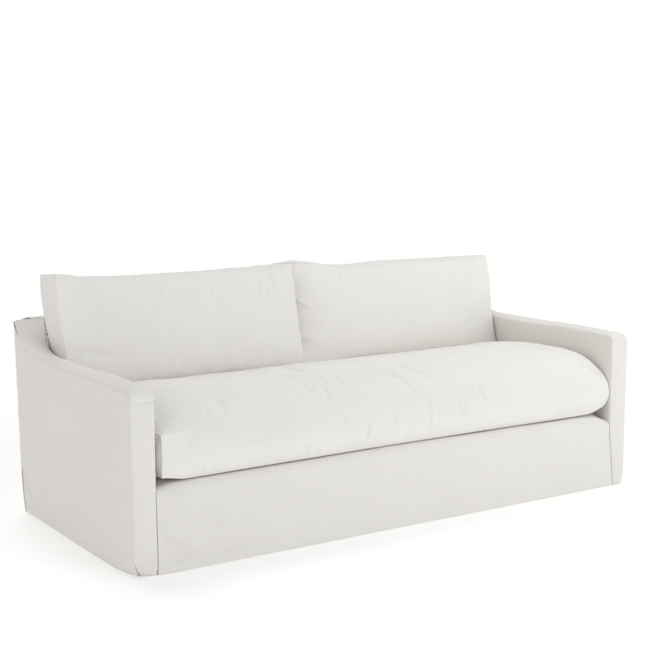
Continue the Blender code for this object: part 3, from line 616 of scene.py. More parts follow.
def woven_cloth(name, colour, thread_shade_and_tone_colour):
    """Plain weave of cotton and linen, with thick and thin threads."""
    material = bpy.data.materials.new(name)
    material.use_nodes = True
    tree = material.node_tree
    shader = tree.nodes["Principled BSDF"]
    start = Shade(tree)
    uv = start.node("ShaderNodeUVMap", {"uv_map": "cloth"})
    u = start.node("ShaderNodeSeparateXYZ", None, {0: uv}, 0)
    v = start.node("ShaderNodeSeparateXYZ", None, {0: uv}, 1)
    warp = (u * (math.pi * THREADS)).sine()
    weft = (v * (math.pi * THREADS)).sine()
    over = start.node("ShaderNodeMapRange", None,
                      {"Value": warp * weft, "From Min": -CROSSING, "From Max": CROSSING})
    weave = warp.absolute() * over + weft.absolute() * (1.0 - over)

    def slubs(scale_u, scale_v):
        stretched = start.node("ShaderNodeMapping", None,
                               {"Vector": uv, "Scale": (scale_u, scale_v, 1.0)})
        return start.node("ShaderNodeTexNoise", None,
                          {"Vector": stretched, "Scale": 1.0, "Detail": 2.0, "Roughness": 0.6})

    threads = slubs(SLUB_ALONG, SLUB_ACROSS) + slubs(SLUB_ACROSS, SLUB_ALONG)
    cloud = start.node("ShaderNodeTexNoise", None, {"Vector": uv, "Scale": CLOUDS, "Detail": 3.0})
    # The weave paints shade between the threads; the slubs and the clouds vary the cloth's own tone.
    shade = weave * WEAVE_TINT + threads * SLUB_TINT + cloud * CLOUD_TINT - TINT_START
    tint = start.node("ShaderNodeMix", {"data_type": "RGBA"},
                      {"Factor": shade, 6: thread_shade_and_tone_colour, 7: colour}, 2)
    tree.links.new(tint.socket, shader.inputs["Base Color"])
    tree.links.new((CLOTH_ROUGHNESS - weave * WEAVE_GLOSS).socket, shader.inputs["Roughness"])
    height = weave * WEAVE_RELIEF + threads * SLUB_RELIEF
    relief = start.node("ShaderNodeBump", None,
                        {"Height": height, "Strength": 0.22, "Distance": 0.0006})
    tree.links.new(relief.socket, shader.inputs["Normal"])
    shader.inputs["Specular IOR Level"].default_value = 0.25
    shader.inputs["Sheen Weight"].default_value = 0.12
    shader.inputs["Sheen Roughness"].default_value = 0.5
    return material


# ---- panels ----
def arm_top(side, word, material):
    s, t = np.meshgrid(spaced(ARM_STRIP, CELL), spaced(ARM_WIDTH + STRIP_FULLNESS, CELL))
    outer_y, outer_z = on_path(ARM_OUTER, s)
    inner_y, inner_z = on_path(ARM_INNER, s)
    x = mix(side_face(outer_y, np.full(s.shape, ARM_HEIGHT), side), INNER, t)
    crown = (ARM_CROWN * np.sin(math.pi * t) ** CROWN_POWER
             * smooth(s * CROWN_START) * smooth((1.0 - s) * CROWN_END))
    mitre = MITRE_CROWN * np.sin(math.pi * t) * smooth((s - MITRE_START) / (1.0 - MITRE_START))
    points = np.stack([side * x, mix(outer_y, inner_y, t), mix(outer_z, inner_z, t) + mitre], -1)
    seed = 11 + side

    def relief(u, v, from_end, from_high):
        edge = np.minimum(v, from_high)
        return (crown + unevenness(u, v, seed, 0.6) * smooth(edge / CALM)
                + puckers(from_end, v, STRIP_END, seed + 3)
                + puckers(from_end, v, STRIP_MITRE, seed + 7) * smooth(edge / NARROW_CALM)
                + puckers(u, v, STRIP_FRONT, seed + 5))

    edges = {"low": SEAM_ROUND, "high": SEAM_ROUND, "start": 0.0, "end": 0.0}
    lay_sheet("arm_top_" + word, points, (0, 0, 1), edges, relief,
              material)


def outline_distance(y, z, line):
    """Distance of points from a border line, and the direction away from it."""
    nearest = np.full(y.shape, np.inf)
    away_y = np.zeros(y.shape)
    away_z = np.zeros(y.shape)
    for (start_y, start_z), (end_y, end_z) in zip(line, line[1:]):
        run_y, run_z = end_y - start_y, end_z - start_z
        length = math.hypot(run_y, run_z)
        t = np.clip(((y - start_y) * run_y + (z - start_z) * run_z) / length ** 2, 0.0, 1.0)
        distance = np.hypot(y - start_y - run_y * t, z - start_z - run_z * t)
        closer = distance < nearest
        nearest = np.where(closer, distance, nearest)
        away_y = np.where(closer, run_z / length, away_y)
        away_z = np.where(closer, -run_y / length, away_z)
    return nearest, away_y, away_z


LINE_STEP = 4             # every so many points of an arm strip's edge stand for it
FOOT_POINTS = 24          # and so many stand for a panel's rear edge


def side_panel(name, side, path, end, low, face, outward, relief, material):
    """A panel under an arm strip's edge: columns stand under that edge, rows lie level."""
    columns = mix(ROLL_END / ARM_STRIP, 1.0, np.linspace(0.0, 1.0, round(ARM_STRIP / CELL)))
    s, t = np.meshgrid(columns, spaced(ARM_HEIGHT - low, CELL, low == HEM_GAP))
    top_y, top_z = on_path(path, s)
    z = mix(low, top_z, t)
    reach = (top_y - FRONT) / (end(top_z) - FRONT)
    missing = 1.0 - reach[:, -1:]
    reach = np.clip(reach + missing * smooth((s - CATCH_UP) / (1.0 - CATCH_UP)), 0.0, 1.0)
    tuck = corner_tuck(np.zeros(z.shape), z, side)
    y = mix(FRONT + tuck, end(z), reach)
    x = face(y - tuck, z)
    border = [(FRONT, BELOW_FLOOR)] + [tuple(point) for point in path[::LINE_STEP]] + [tuple(path[-1])]
    heights = np.linspace(path[-1][1], BELOW_FLOOR, FOOT_POINTS)
    foot = [(end(np.array([height]))[0], height) for height in heights]
    distance, away_y, away_z = outline_distance(y - tuck, z, border + foot)
    along, fall = round_border(distance, SEAM_ROUND)
    depth = relief(y - FRONT, z, distance) - fall - seam_sink(distance)
    points = np.stack([side * x, y + away_y * along, z + away_z * along], -1)
    _, _, normal, u, v = directions(points)
    sign = facing(normal, outward)
    points = points + normal * sign * depth[..., None]
    piece = sheet_object("cloth_" + name, points, sign, np.stack([y - FRONT, z], -1))
    declare(piece, name, material)


def hem_relief(z, u, seed):
    """The turned-up hem: its stitch line pulls the cloth in a little and unevenly."""
    line = HEM_DEPTH + HEM_WANDER * noise(u / WANDER_LENGTH, np.full(z.shape, 0.5), seed)
    return (-HEM_STITCH * np.exp(-((z - line) / STITCH_WIDTH) ** 2)
            + puckers(np.abs(z - line), u, HEM_LINE, seed + 1))


def outside_arm(side, word, material):
    seed = 31 + side

    def relief(u, z, distance):
        return (unevenness(u, z, seed) * smooth(distance / WIDE_CALM)
                + puckers(distance, u + z, OUTSIDE_EDGE, seed + 3)
                + hem_relief(z, u, seed + 6))

    side_panel("outside_arm_" + word, side, ARM_OUTER, back_face, HEM_GAP,
               lambda y, z: side_face(y, z, side), (side, 0, 0), relief, material)


def inside_arm(side, word, material):
    seed = 41 + side

    def relief(u, z, distance):
        return (unevenness(u, z, seed, 0.7) * smooth(distance / WIDE_CALM)
                + puckers(distance, u + z, INSIDE_EDGE, seed + 3))

    side_panel("inside_arm_" + word, side, ARM_INNER, inside_back_face, RAIL_HEIGHT - CREVICE,
               lambda y, z: np.full(y.shape, INNER), (-side, 0, 0), relief, material)


def arm_front(side, word, material):
    top = ARM_HEIGHT - ROLL - ROLL_END
    s, t = np.meshgrid(spaced(ARM_WIDTH, CELL), spaced(top, CELL))
    z = mix(HEM_GAP, top, t)
    tuck = corner_tuck(np.zeros(z.shape), z, side)
    outer = side_face(np.full(z.shape, FRONT), z, side)
    x = mix(outer, front_seam(z, side), s)
    bulge = ARM_FRONT_CROWN * np.sin(math.pi * s) * smooth((top - z) / FRONT_PAD_FADE)
    points = np.stack([side * x, front_face(side * (x + tuck), z) - bulge, z], -1)
    seed = 51 + side

    def relief(u, v, from_end, from_high):
        edge = np.minimum(u, from_end)
        return (unevenness(u * NARROW_WAVES, v, seed, 0.6) * smooth(edge / NARROW_CALM)
                + puckers(edge, v, ARM_FRONT_EDGE, seed + 3)
                + hem_relief(v, u, seed + 6))

    edges = {"start": SEAM_ROUND, "end": INNER_ROUND, "high": 0.0}
    lay_sheet("arm_front_" + word, points, (0, -1, 0), edges, relief,
              material)


def front_panel(material):
    drop = RAIL_HEIGHT - ROLL
    roll = ROLL * math.pi / 2
    height = drop + roll + ROLL_END
    s, run = np.meshgrid(spaced(2 * INNER, CELL), spaced(height, CELL) * height)
    nominal = mix(-INNER, INNER, s)
    rail = rail_height(nominal)
    angle = np.clip((run - drop) / ROLL, 0.0, math.pi / 2)
    straight = mix(HEM_GAP, rail - ROLL, np.clip(run / drop, 0.0, 1.0))
    z = straight + ROLL * np.sin(angle)
    flat_end = np.maximum(run - drop - roll, 0.0)
    left = HALF_SEAM - front_seam(z, LEFT)
    right = front_seam(z, RIGHT) - HALF_SEAM
    x = mix(left, right, s)
    y = front_face(nominal, straight) + ROLL * (1 - np.cos(angle)) + flat_end
    edge_fade = smooth((x - left) / EDGE_FADE) * smooth((right - x) / EDGE_FADE)
    rise = fold_rise(FRONT_FOLDS, x, z) * edge_fade * smooth((rail - z) / FADE)
    points = np.stack([x, y - rise, z], -1)
    seed = 61

    def relief(u, v, from_end, from_high):
        edge = np.minimum(u, from_end)
        return (unevenness(u, v, seed, 1.2) * smooth(edge / CALM)
                + puckers(edge, v, FRONT_PANEL_EDGE, seed + 3) + hem_relief(v, u, seed + 5))

    edges = {"start": 0.0, "end": 0.0}
    lay_sheet("front_panel", points, (0, -1, 0), edges, relief, material)


def seat_deck(material):
    front = FRONT + ROLL + ROLL_END
    rear = inside_back_face(RAIL_HEIGHT) - DECK_REAR_GAP
    s, t = np.meshgrid(*(np.linspace(0, 1, lines) for lines in DECK_GRID))
    x = mix(-INNER + DECK_GAP, INNER - DECK_GAP, s)
    y = mix(front, rear, t)
    z = mix(rail_height(x), RAIL_HEIGHT, smooth((y - front) / DECK_RISE))
    points = np.stack([x, y, z], -1)
    seed = 71

    def relief(u, v, from_end, from_high):
        return unevenness(u, v, seed, 0.3) - DECK_SINK

    lay_sheet("seat_deck", points, (0, 0, 1), {"low": 0.0}, relief,
              material)


def inside_back(material):
    low = RAIL_HEIGHT - CREVICE
    s, t = np.meshgrid(spaced(2 * INNER, HIDDEN_CELL), spaced(BACK_HEIGHT - low, HIDDEN_ROW, False))
    z = mix(low, BACK_HEIGHT, t)
    reach = INNER - BACK_INSET * smooth((z - ARM_HEIGHT) / SQUEEZE) - BACK_GAP
    points = np.stack([mix(-reach, reach, s), inside_back_face(z), z], -1)
    seed = 81

    def relief(u, v, from_end, from_high):
        return unevenness(u, v, seed, 0.8) * smooth(from_high / WIDE_CALM)

    lay_sheet("inside_back", points, (0, -1, 0), {"high": SEAM_ROUND}, relief,
              material)


def back_top(material):
    front = inside_back_face(BACK_HEIGHT)
    rear = back_face(BACK_REAR_HEIGHT)
    s, t = np.meshgrid(spaced(LENGTH, CELL), spaced(BACK_THICKNESS, CELL))
    reach = mix(INNER, SIDE, t)
    fall = (BACK_HEIGHT - BACK_REAR_HEIGHT) * t ** 2
    mitre = MITRE_CROWN * np.sin(math.pi * t)
    crown = ((BACK_TOP_CROWN - MITRE_CROWN) * np.sin(math.pi * t)
             * smooth(np.minimum(s, 1 - s) / BACK_TOP_FADE))
    points = np.stack([mix(-reach, reach, s), mix(front, rear, t), BACK_HEIGHT - fall + mitre], -1)
    seed = 91

    def relief(u, v, from_end, from_high):
        end = np.minimum(u, from_end)
        edge = np.minimum(v, from_high)
        return (crown + unevenness(u, v, seed, 0.8) * smooth(edge / CALM)
                + puckers(end, v, BACK_STRIP_END, seed + 2)
                + puckers(edge, u, BACK_STRIP_EDGE, seed + 4))

    edges = {"low": SEAM_ROUND, "high": SEAM_ROUND, "start": 0.0, "end": 0.0}
    lay_sheet("back_top", points, (0, 0, 1), edges, relief, material)


def outside_back(material):
    s, t = np.meshgrid(spaced(LENGTH, REAR_CELL), spaced(BACK_REAR_HEIGHT, REAR_CELL))
    z = mix(HEM_GAP, BACK_REAR_HEIGHT, t)
    x = mix(-SIDE, SIDE, s)
    fade = smooth((SIDE - np.abs(x)) / FADE) * smooth((BACK_REAR_HEIGHT - z) / FADE)
    points = np.stack([x, back_face(z) + fold_rise(BACK_FOLDS, x, z) * fade, z], -1)
    drags = fold_rise(BACK_DRAGS, x, z)
    seed = 101

    def relief(u, v, from_end, from_high):
        edge = np.minimum(np.minimum(u, from_end), from_high)
        return ((unevenness(u, v, seed, 1.4) + drags) * smooth(edge / WIDE_CALM)
                + puckers(edge, u + v, OUTSIDE_EDGE, seed + 2) + hem_relief(v, u, seed + 5))

    edges = {"start": SEAM_ROUND, "end": SEAM_ROUND, "high": SEAM_ROUND}
    lay_sheet("outside_back", points, (0, 1, 0), edges, relief, material)


# ---- cushions ----
BOXING = 0.157            # height of the bench cushion's boxing at its front
BACK_BOXING = 0.41        # height of a back cushion's face
SEAT_CELL = 0.0075        # size of a mesh cell on the bench cushion
SEAT_REAR_CELL = 0.014    # and where its top lies under the back cushions or near them
FINE_DEPTH = 0.40         # which starts this far back
BACK_CELL = 0.0085        # size of a mesh cell on a back cushion

BLOW_CELL = 0.012         # size of a mesh cell in the simulation
BLOW_FRAMES = 20
BLOW_CAP = 0.024          # no point moves further than this
LONG_WAVE_ROUNDS = 40     # so many averagings leave the long waves, which are then taken off
FILLING = {
    "quality": 5, "mass": 0.15, "tension_stiffness": 20.0, "compression_stiffness": 20.0,
    "shear_stiffness": 8.0, "bending_stiffness": 0.05, "use_pressure": True,
    "uniform_pressure_force": 4.0,
    "shrink_min": -0.03,              # the cloth is cut this much larger than the form
    "vertex_group_mass": "sewn",
}
SEAT_FOOT_WRINKLES = 0.15  # shares of the simulated wrinkles: the bench cushion's bottom seam,
SEAT_TOP_WRINKLES = 0.45   # its top,
BACK_WRINKLES = 0.4        # and the back cushions
REAR_SHARE = 0.9           # but not their rear faces
SEAT_REAR_FADE = 0.25      # the wrinkles die out over this share of the seat's depth
CREASE_REAR_FADE = 0.2     # and its creases over this share
BACK_FOOT_FADE = 0.3       # a back cushion's wrinkles are full this share of its height up
BACK_FOOT_START = 0.2      # and start with this much of the way there

BELLY = 0.0035            # how far the bench cushion's boxing swells out
BELLY_HEIGHT = 0.14       # up to this height
BELLY_END = 0.10          # from this distance to its ends
LIP_WIDTH = 0.0022        # a seam's standing edge
GROOVE_PLACE = 0.0055     # and the groove beside it
GROOVE_WIDTH = 0.0028
LIP_FULL = 1.3            # that edge is crisp at the bench cushion's square left end
LIP_FADE = 0.25           # and dies out towards the round right one
SEAM_CLEAR = 0.004        # a back cushion's gathers start this far from their seam

# Creases on the bench cushion. Their height runs from the bottom front seam up the boxing and on over
# the top, as if the cloth lay flat.
SEAT_FOLDS = (
    Fold(-0.743, 0.300, -0.750, 0.240, -0.753, 0.192, 0.0076, 0.0076, -0.009),
    Fold(-0.858, 0.235, -0.868, 0.205, -0.878, 0.175, 0.0055, 0.0055, -0.0033),
    Fold(-0.817, 0.238, -0.830, 0.205, -0.842, 0.170, 0.0055, 0.0055, -0.0033),
    Fold(-0.215, 0.740, -0.238, 0.609, -0.262, 0.480, 0.0136, 0.0255, -0.006),
    Fold(-0.345, 0.560, -0.362, 0.454, -0.361, 0.350, 0.0153, 0.0221, -0.0067),
    Fold(-0.363, 0.345, -0.366, 0.286, -0.358, 0.238, 0.0102, 0.0136, -0.0053),
    Fold(-0.297, 0.300, -0.306, 0.235, -0.324, 0.172, 0.0068, 0.0093, -0.0083),
    Fold(-0.289, 0.218, -0.293, 0.189, -0.290, 0.156, 0.0055, 0.0068, -0.0042),
    Fold(-0.184, 0.420, -0.206, 0.319, -0.204, 0.255, 0.0153, 0.0204, -0.0057),
    Fold(-0.030, 0.430, 0.060, 0.330, 0.066, 0.205, 0.0119, 0.0085, -0.0083),
    Fold(0.020, 0.290, 0.064, 0.240, 0.060, 0.168, 0.0085, 0.0076, -0.0053),
    Fold(-0.180, 0.104, -0.190, 0.063, -0.200, 0.020, 0.0055, 0.0076, -0.0078),
    Fold(-0.274, 0.190, -0.296, 0.143, -0.290, 0.090, 0.0055, 0.0055, -0.0027),
    Fold(-0.516, 0.184, -0.530, 0.152, -0.525, 0.112, 0.0055, 0.0055, -0.0027),
    Fold(-0.050, 0.184, -0.074, 0.117, -0.060, 0.028, 0.0059, 0.0059, -0.0033),
    Fold(-0.004, 0.136, -0.008, 0.071, -0.008, 0.012, 0.0059, 0.0059, -0.0033),
    Fold(-0.466, 0.060, -0.454, 0.033, -0.448, 0.006, 0.0055, 0.0068, -0.0053),
    Fold(0.130, 0.460, 0.150, 0.279, 0.226, 0.186, 0.0119, 0.0085, -0.009),
    Fold(0.080, 0.260, 0.100, 0.202, 0.088, 0.150, 0.0068, 0.0068, -0.0045),
    Fold(0.092, 0.198, 0.086, 0.169, 0.087, 0.138, 0.0055, 0.0055, 0.0045),
    Fold(0.118, 0.176, 0.094, 0.097, 0.104, 0.006, 0.0059, 0.0059, -0.0054),
    Fold(0.270, 0.178, 0.254, 0.118, 0.250, 0.044, 0.0055, 0.0059, -0.0054),
    Fold(0.285, 0.170, 0.275, 0.116, 0.277, 0.050, 0.0055, 0.0059, -0.0054),
    Fold(0.374, 0.174, 0.377, 0.144, 0.393, 0.108, 0.0059, 0.0068, -0.0075),
    Fold(0.448, 0.172, 0.488, 0.128, 0.508, 0.056, 0.0102, 0.0102, -0.0039),
    Fold(0.680, 0.140, 0.710, 0.103, 0.742, 0.056, 0.0085, 0.0085, -0.0039),
    Fold(0.790, 0.138, 0.828, 0.098, 0.872, 0.046, 0.0102, 0.0085, 0.0051),
    Fold(0.896, 0.160, 0.929, 0.104, 0.965, 0.048, 0.0076, 0.0076, -0.0051),
    Fold(0.930, 0.236, 0.990, 0.200, 1.046, 0.120, 0.0119, 0.0102, -0.009),
    Fold(0.960, 0.262, 1.010, 0.215, 1.050, 0.150, 0.0102, 0.0102, 0.0067),
    Fold(-0.600, 0.260, -0.610, 0.215, -0.600, 0.165, 0.0085, 0.0085, -0.0023),
    Fold(-0.440, 0.255, -0.432, 0.205, -0.440, 0.160, 0.0085, 0.0085, -0.0024),
    Fold(0.560, 0.250, 0.585, 0.200, 0.600, 0.140, 0.0102, 0.0102, -0.0024),
)
# Creases on the faces of the back cushions: distance from the middle, height from the bottom seam.
BACK_CUSHION_FOLDS = {
    LEFT: (
        Fold(0.190, 0.400, 0.190, 0.348, 0.178, 0.285, 0.0072, 0.0072, -0.0063),
        Fold(0.116, 0.404, 0.112, 0.355, 0.104, 0.300, 0.0081, 0.0063, -0.0087),
        Fold(0.154, 0.372, 0.151, 0.325, 0.141, 0.272, 0.0072, 0.0072, -0.0042),
        Fold(0.046, 0.418, 0.055, 0.400, 0.051, 0.374, 0.0055, 0.0055, -0.0056),
        Fold(0.420, 0.400, 0.410, 0.350, 0.430, 0.300, 0.009, 0.009, -0.0042),
        Fold(0.640, 0.400, 0.655, 0.345, 0.640, 0.290, 0.009, 0.009, -0.005),
        Fold(0.960, 0.425, 0.915, 0.350, 0.900, 0.250, 0.0126, 0.0108, -0.007),
        Fold(1.000, 0.120, 0.930, 0.150, 0.860, 0.100, 0.0126, 0.0126, -0.0056),
    ),
    RIGHT: (
        Fold(0.003, 0.262, 0.043, 0.248, 0.078, 0.224, 0.009, 0.0072, 0.0077),
        Fold(0.003, 0.100, 0.041, 0.104, 0.088, 0.086, 0.009, 0.0072, 0.0077),
        Fold(0.180, 0.394, 0.212, 0.378, 0.240, 0.352, 0.0081, 0.0081, -0.0056),
        Fold(0.520, 0.384, 0.505, 0.330, 0.520, 0.280, 0.009, 0.009, -0.005),
        Fold(0.730, 0.380, 0.745, 0.330, 0.735, 0.270, 0.009, 0.009, -0.005),
        Fold(0.960, 0.385, 0.915, 0.320, 0.905, 0.230, 0.0126, 0.0108, -0.007),
        Fold(1.000, 0.110, 0.920, 0.140, 0.850, 0.095, 0.0126, 0.0126, -0.0056),
    ),
}


def box_grid(a, b, c):
    """Points and quads of the six sides of a block with the given grid lines, joined at its edges."""
    lines = [np.asarray(a), np.asarray(b), np.asarray(c)]
    sides = []
    for axis in range(3):
        first, second = (axis + 1) % 3, (axis + 2) % 3
        for end in (0.0, 1.0):
            p, q = np.meshgrid(lines[first], lines[second], indexing="ij")
            block = np.zeros(p.shape + (3,))
            block[..., axis], block[..., first], block[..., second] = end, p, q
            sides.append((block, end))
    keys = np.concatenate([block.reshape(-1, 3) for block, _ in sides])
    unique, inverse = np.unique(np.round(keys, 6), axis=0, return_inverse=True)
    inverse = inverse.ravel()
    quads, offset = [], 0
    for block, end in sides:
        rows, columns = block.shape[:2]
        index = inverse[offset:offset + rows * columns].reshape(rows, columns)
        offset += rows * columns
        face = np.stack([index[:-1, :-1], index[1:, :-1], index[1:, 1:], index[:-1, 1:]], -1).reshape(-1, 4)
        quads.append(face if end else face[:, ::-1])
    return unique, np.concatenate(quads)


def edge_pairs(quads):
    pairs = np.concatenate([quads[:, [k, (k + 1) % 4]] for k in range(4)])
    return np.unique(np.sort(pairs, axis=1), axis=0)


def relax(values, quads, rounds):
    """Averages the values of neighbouring points, halfway each time."""
    pairs = edge_pairs(quads)
    count = np.bincount(pairs.ravel(), minlength=len(values))[:, None]
    for _ in range(rounds):
        total = np.zeros_like(values)
        for column in range(values.shape[1]):
            total[:, column] = (np.bincount(pairs[:, 0], values[pairs[:, 1], column], len(values))
                                + np.bincount(pairs[:, 1], values[pairs[:, 0], column], len(values)))
        values = mix(values, total / count, 0.5)
    return values


def point_normals(points, quads):
    corners = points[quads]
    normals = np.cross(corners[:, 2] - corners[:, 0], corners[:, 3] - corners[:, 1])
    total = np.zeros_like(points)
    for corner in range(4):
        for axis in range(3):
            total[:, axis] += np.bincount(quads[:, corner], normals[:, axis], len(points))
    return total / (np.linalg.norm(total, axis=1, keepdims=True) + 1e-12)


def blow_up(lines, form, flip):
    """Blows a filled form up as cloth and returns how far the points of its grid went."""
    shares, quads = box_grid(*lines)
    start = form(shares)
    piece = mesh_object("filling", start, quads[:, ::-1] if flip else quads, start[:, :2])
    sewn = np.sum((shares == 0.0) | (shares == 1.0), axis=1) > 1
    group = piece.vertex_groups.new(name="sewn")
    group.add([int(index) for index in np.flatnonzero(sewn)], 1.0, "REPLACE")
    cloth = piece.modifiers.new("filling", "CLOTH")
    for name, value in FILLING.items():
        setattr(cloth.settings, name, value)
    cloth.settings.effector_weights.gravity = 0.0
    cloth.collision_settings.use_collision = False
    cloth.point_cache.frame_start = 1
    cloth.point_cache.frame_end = BLOW_FRAMES
    for step in range(1, BLOW_FRAMES + 1):
        bpy.context.scene.frame_set(step)
    evaluated = piece.evaluated_get(bpy.context.evaluated_depsgraph_get())
    moved = np.array([vertex.co for vertex in evaluated.data.vertices]) - start
    mesh = piece.data
    bpy.data.objects.remove(piece)
    bpy.data.meshes.remove(mesh)
    bpy.context.scene.frame_set(1)
    moved = moved - relax(moved, quads, LONG_WAVE_ROUNDS)
    length = np.linalg.norm(moved, axis=1, keepdims=True)
    return shares, moved * np.minimum(1.0, BLOW_CAP / (length + 1e-9))


def read_grid(rows, columns, values, p, q):
    """Values at places (p, q) of a grid."""
    i = np.clip(np.searchsorted(rows, p, "right") - 1, 0, len(rows) - 2)
    j = np.clip(np.searchsorted(columns, q, "right") - 1, 0, len(columns) - 2)
    s = ((p - rows[i]) / (rows[i + 1] - rows[i]))[:, None]
    t = ((q - columns[j]) / (columns[j + 1] - columns[j]))[:, None]
    return mix(mix(values[i, j], values[i + 1, j], s),
               mix(values[i, j + 1], values[i + 1, j + 1], s), t)


def spread(lines, shares, values, places):
    """Carries values from the skin of a coarse block to the places of a finer one."""
    found = {tuple(key): value for key, value in zip(np.round(shares, 6).tolist(), values)}
    result = np.zeros((len(places), values.shape[1]))
    for axis in range(3):
        first, second = (axis + 1) % 3, (axis + 2) % 3
        rows, columns = lines[first], lines[second]
        for end in (0.0, 1.0):
            grid = np.empty((len(rows), len(columns), values.shape[1]))
            for i, p in enumerate(rows):
                for j, q in enumerate(columns):
                    key = [0.0, 0.0, 0.0]
                    key[axis], key[first], key[second] = end, round(float(p), 6), round(float(q), 6)
                    grid[i, j] = found[tuple(key)]
            side = places[:, axis] == end
            result[side] = read_grid(rows, columns, grid, places[side, first], places[side, second])
    return result


def seat_form(p):
    """The bench cushion's form at shares (a, b, c) of its length, depth and height."""
    a, b, c = p.T
    x = mix(-SEAT_LEFT, SEAT_RIGHT, a)
    from_front = b * SEAT_DEPTH
    from_left, from_right = x + SEAT_LEFT, SEAT_RIGHT - x
    edge = np.minimum(from_front, SEAT_DEPTH - from_front)
    end = np.minimum(from_left, from_right)
    corner = (CORNER_LIFT * np.exp(-((edge / CORNER_REACH) ** 2 + (from_left / CORNER_REACH) ** 2))
              + ROUND_LIFT * np.exp(-((edge / ROUND_REACH) ** 2 + (from_right / ROUND_REACH) ** 2)))
    under = SEAT_LIFT * (1.0 - smooth(np.minimum(edge, end) / UNDER_REACH)) + corner
    settled = (SAG_SHARE * read_curve(RAIL_DROP, x) * smooth(end / UNDER_REACH)
               * np.exp(-from_front / SAG_REACH))
    bottom = RAIL_HEIGHT + CUSHION_GAP + under - settled
    shelf = smooth(1.0 + (from_front - SHELF_START + SHELF_LEAD) / SHELF_RAMP)
    waves = read_curve(SEAT_WAVES, x) * np.sin(math.pi * np.minimum(b * WAVE_STRETCH, 1.0)) * (1.0 - shelf)
    crown = read_curve(SEAT_END_LEFT, from_left) * read_curve(SEAT_END_RIGHT, from_right)
    share = mix(crown, 1.0, shelf * smooth(end / SHELF_END))
    top = SEAT_EDGE + read_curve(SEAT_CROWN, from_front) * share + waves
    near_front = np.exp(-from_front / FRONT_REACH)
    straight = mix(STRAIGHT_END, 1.0, smooth(from_left / STRAIGHT_REACH))
    y = (FRONT + from_front + read_curve(SEAT_FRONT_LINE, c) * straight * near_front
         + ROUND_DRAW * np.exp(-from_right / ROUND_DRAW_REACH) * near_front)
    left_end = np.exp(-from_left / LEFT_REACH) * smooth(from_front / LEFT_START)
    x = (x + read_curve(SEAT_LEFT_LINE, c) * left_end
         - read_curve(SEAT_RIGHT_LINE, c) * np.exp(-from_right / RIGHT_REACH))
    return np.stack([x, y, mix(bottom, top, c)], -1)


def back_form(p, side, top_rows):
    """A back cushion's form at shares (a, b, c) of its width, thickness and height."""
    a, b, c = p.T
    low = SEAT_SHELF + CUSHION_GAP
    across = mix(CUSHION_SEAM, CUSHION_SIDE, a)
    z = mix(low, read_curve(top_rows, across), c)
    front = FRONT + CUSHION_FRONT + (z - low) * RAKE
    full_a, full_b, full_c = (np.sin(math.pi * share) for share in (a, b, c))
    fullness = full_a ** FULL_WIDE * full_c ** FULL_HIGH
    behind = REAR_BULGE * full_a * full_c
    y = front + CUSHION_THICKNESS * b - CUSHION_BULGE * fullness * (1 - b) + behind * b
    if side == RIGHT:
        y = y + VALLEY_DEPTH * np.exp(-(across / VALLEY_REACH) ** 2) * full_c ** SOFT_END * (1 - b)
    puff = TOP_PUFF * full_b * full_a ** SOFT_END
    drop = REAR_CORNER_DROP * b * (smooth((across - CUSHION_SIDE) / OUTER_DROP_REACH + 1.0)
                                   + smooth(1.0 - across / INNER_DROP_REACH))
    outer = (OUTER_PUFF * full_c * full_b * a
             + read_curve(OVERHANG, z) * np.exp((across - CUSHION_SIDE) / OVERHANG_REACH))
    return np.stack([side * (across + outer), y, z + (puff - drop) * c ** TOP_ONLY], -1)


def seam_distance(shares, sizes):
    """Distance of each point of a block's skin from the nearest seam, which run along its edges."""
    inward = np.minimum(shares, 1.0 - shares) * np.array(sizes)
    return np.sort(inward, axis=1)[:, 1]


def seam_lip(seam, rise, groove):
    """A sewn edge that stands up, with a groove beside it."""
    return (rise * np.exp(-(seam / LIP_WIDTH) ** 2)
            - groove * np.exp(-((seam - GROOVE_PLACE) / GROOVE_WIDTH) ** 2))


def cushion(name, node, lines, sizes, form, flip, relief, wrinkle, material):
    """Makes a filled cushion: its form, the wrinkles of its filling, and its creases and seams."""
    shares, quads = box_grid(*lines)
    if flip:
        quads = quads[:, ::-1]
    start = form(shares)
    seam = seam_distance(shares, sizes)
    upright = (shares[:, 2] > 0.0) & (shares[:, 2] < 1.0)
    uv = np.where(upright[:, None], np.stack([start[:, 0] + start[:, 1], start[:, 2]], -1), start[:, :2])
    points = start
    coarse = [np.linspace(0.0, 1.0, round(size / BLOW_CELL) + 1) for size in sizes]
    coarse_shares, moved = blow_up(coarse, form, flip)
    points = start + spread(coarse, coarse_shares, moved, shares) * wrinkle(shares)[:, None]
    normals = point_normals(points, quads)
    points = points + normals * relief(shares, start, seam)[:, None]
    piece = mesh_object(name, points, quads, uv)
    dress(piece, node, material)


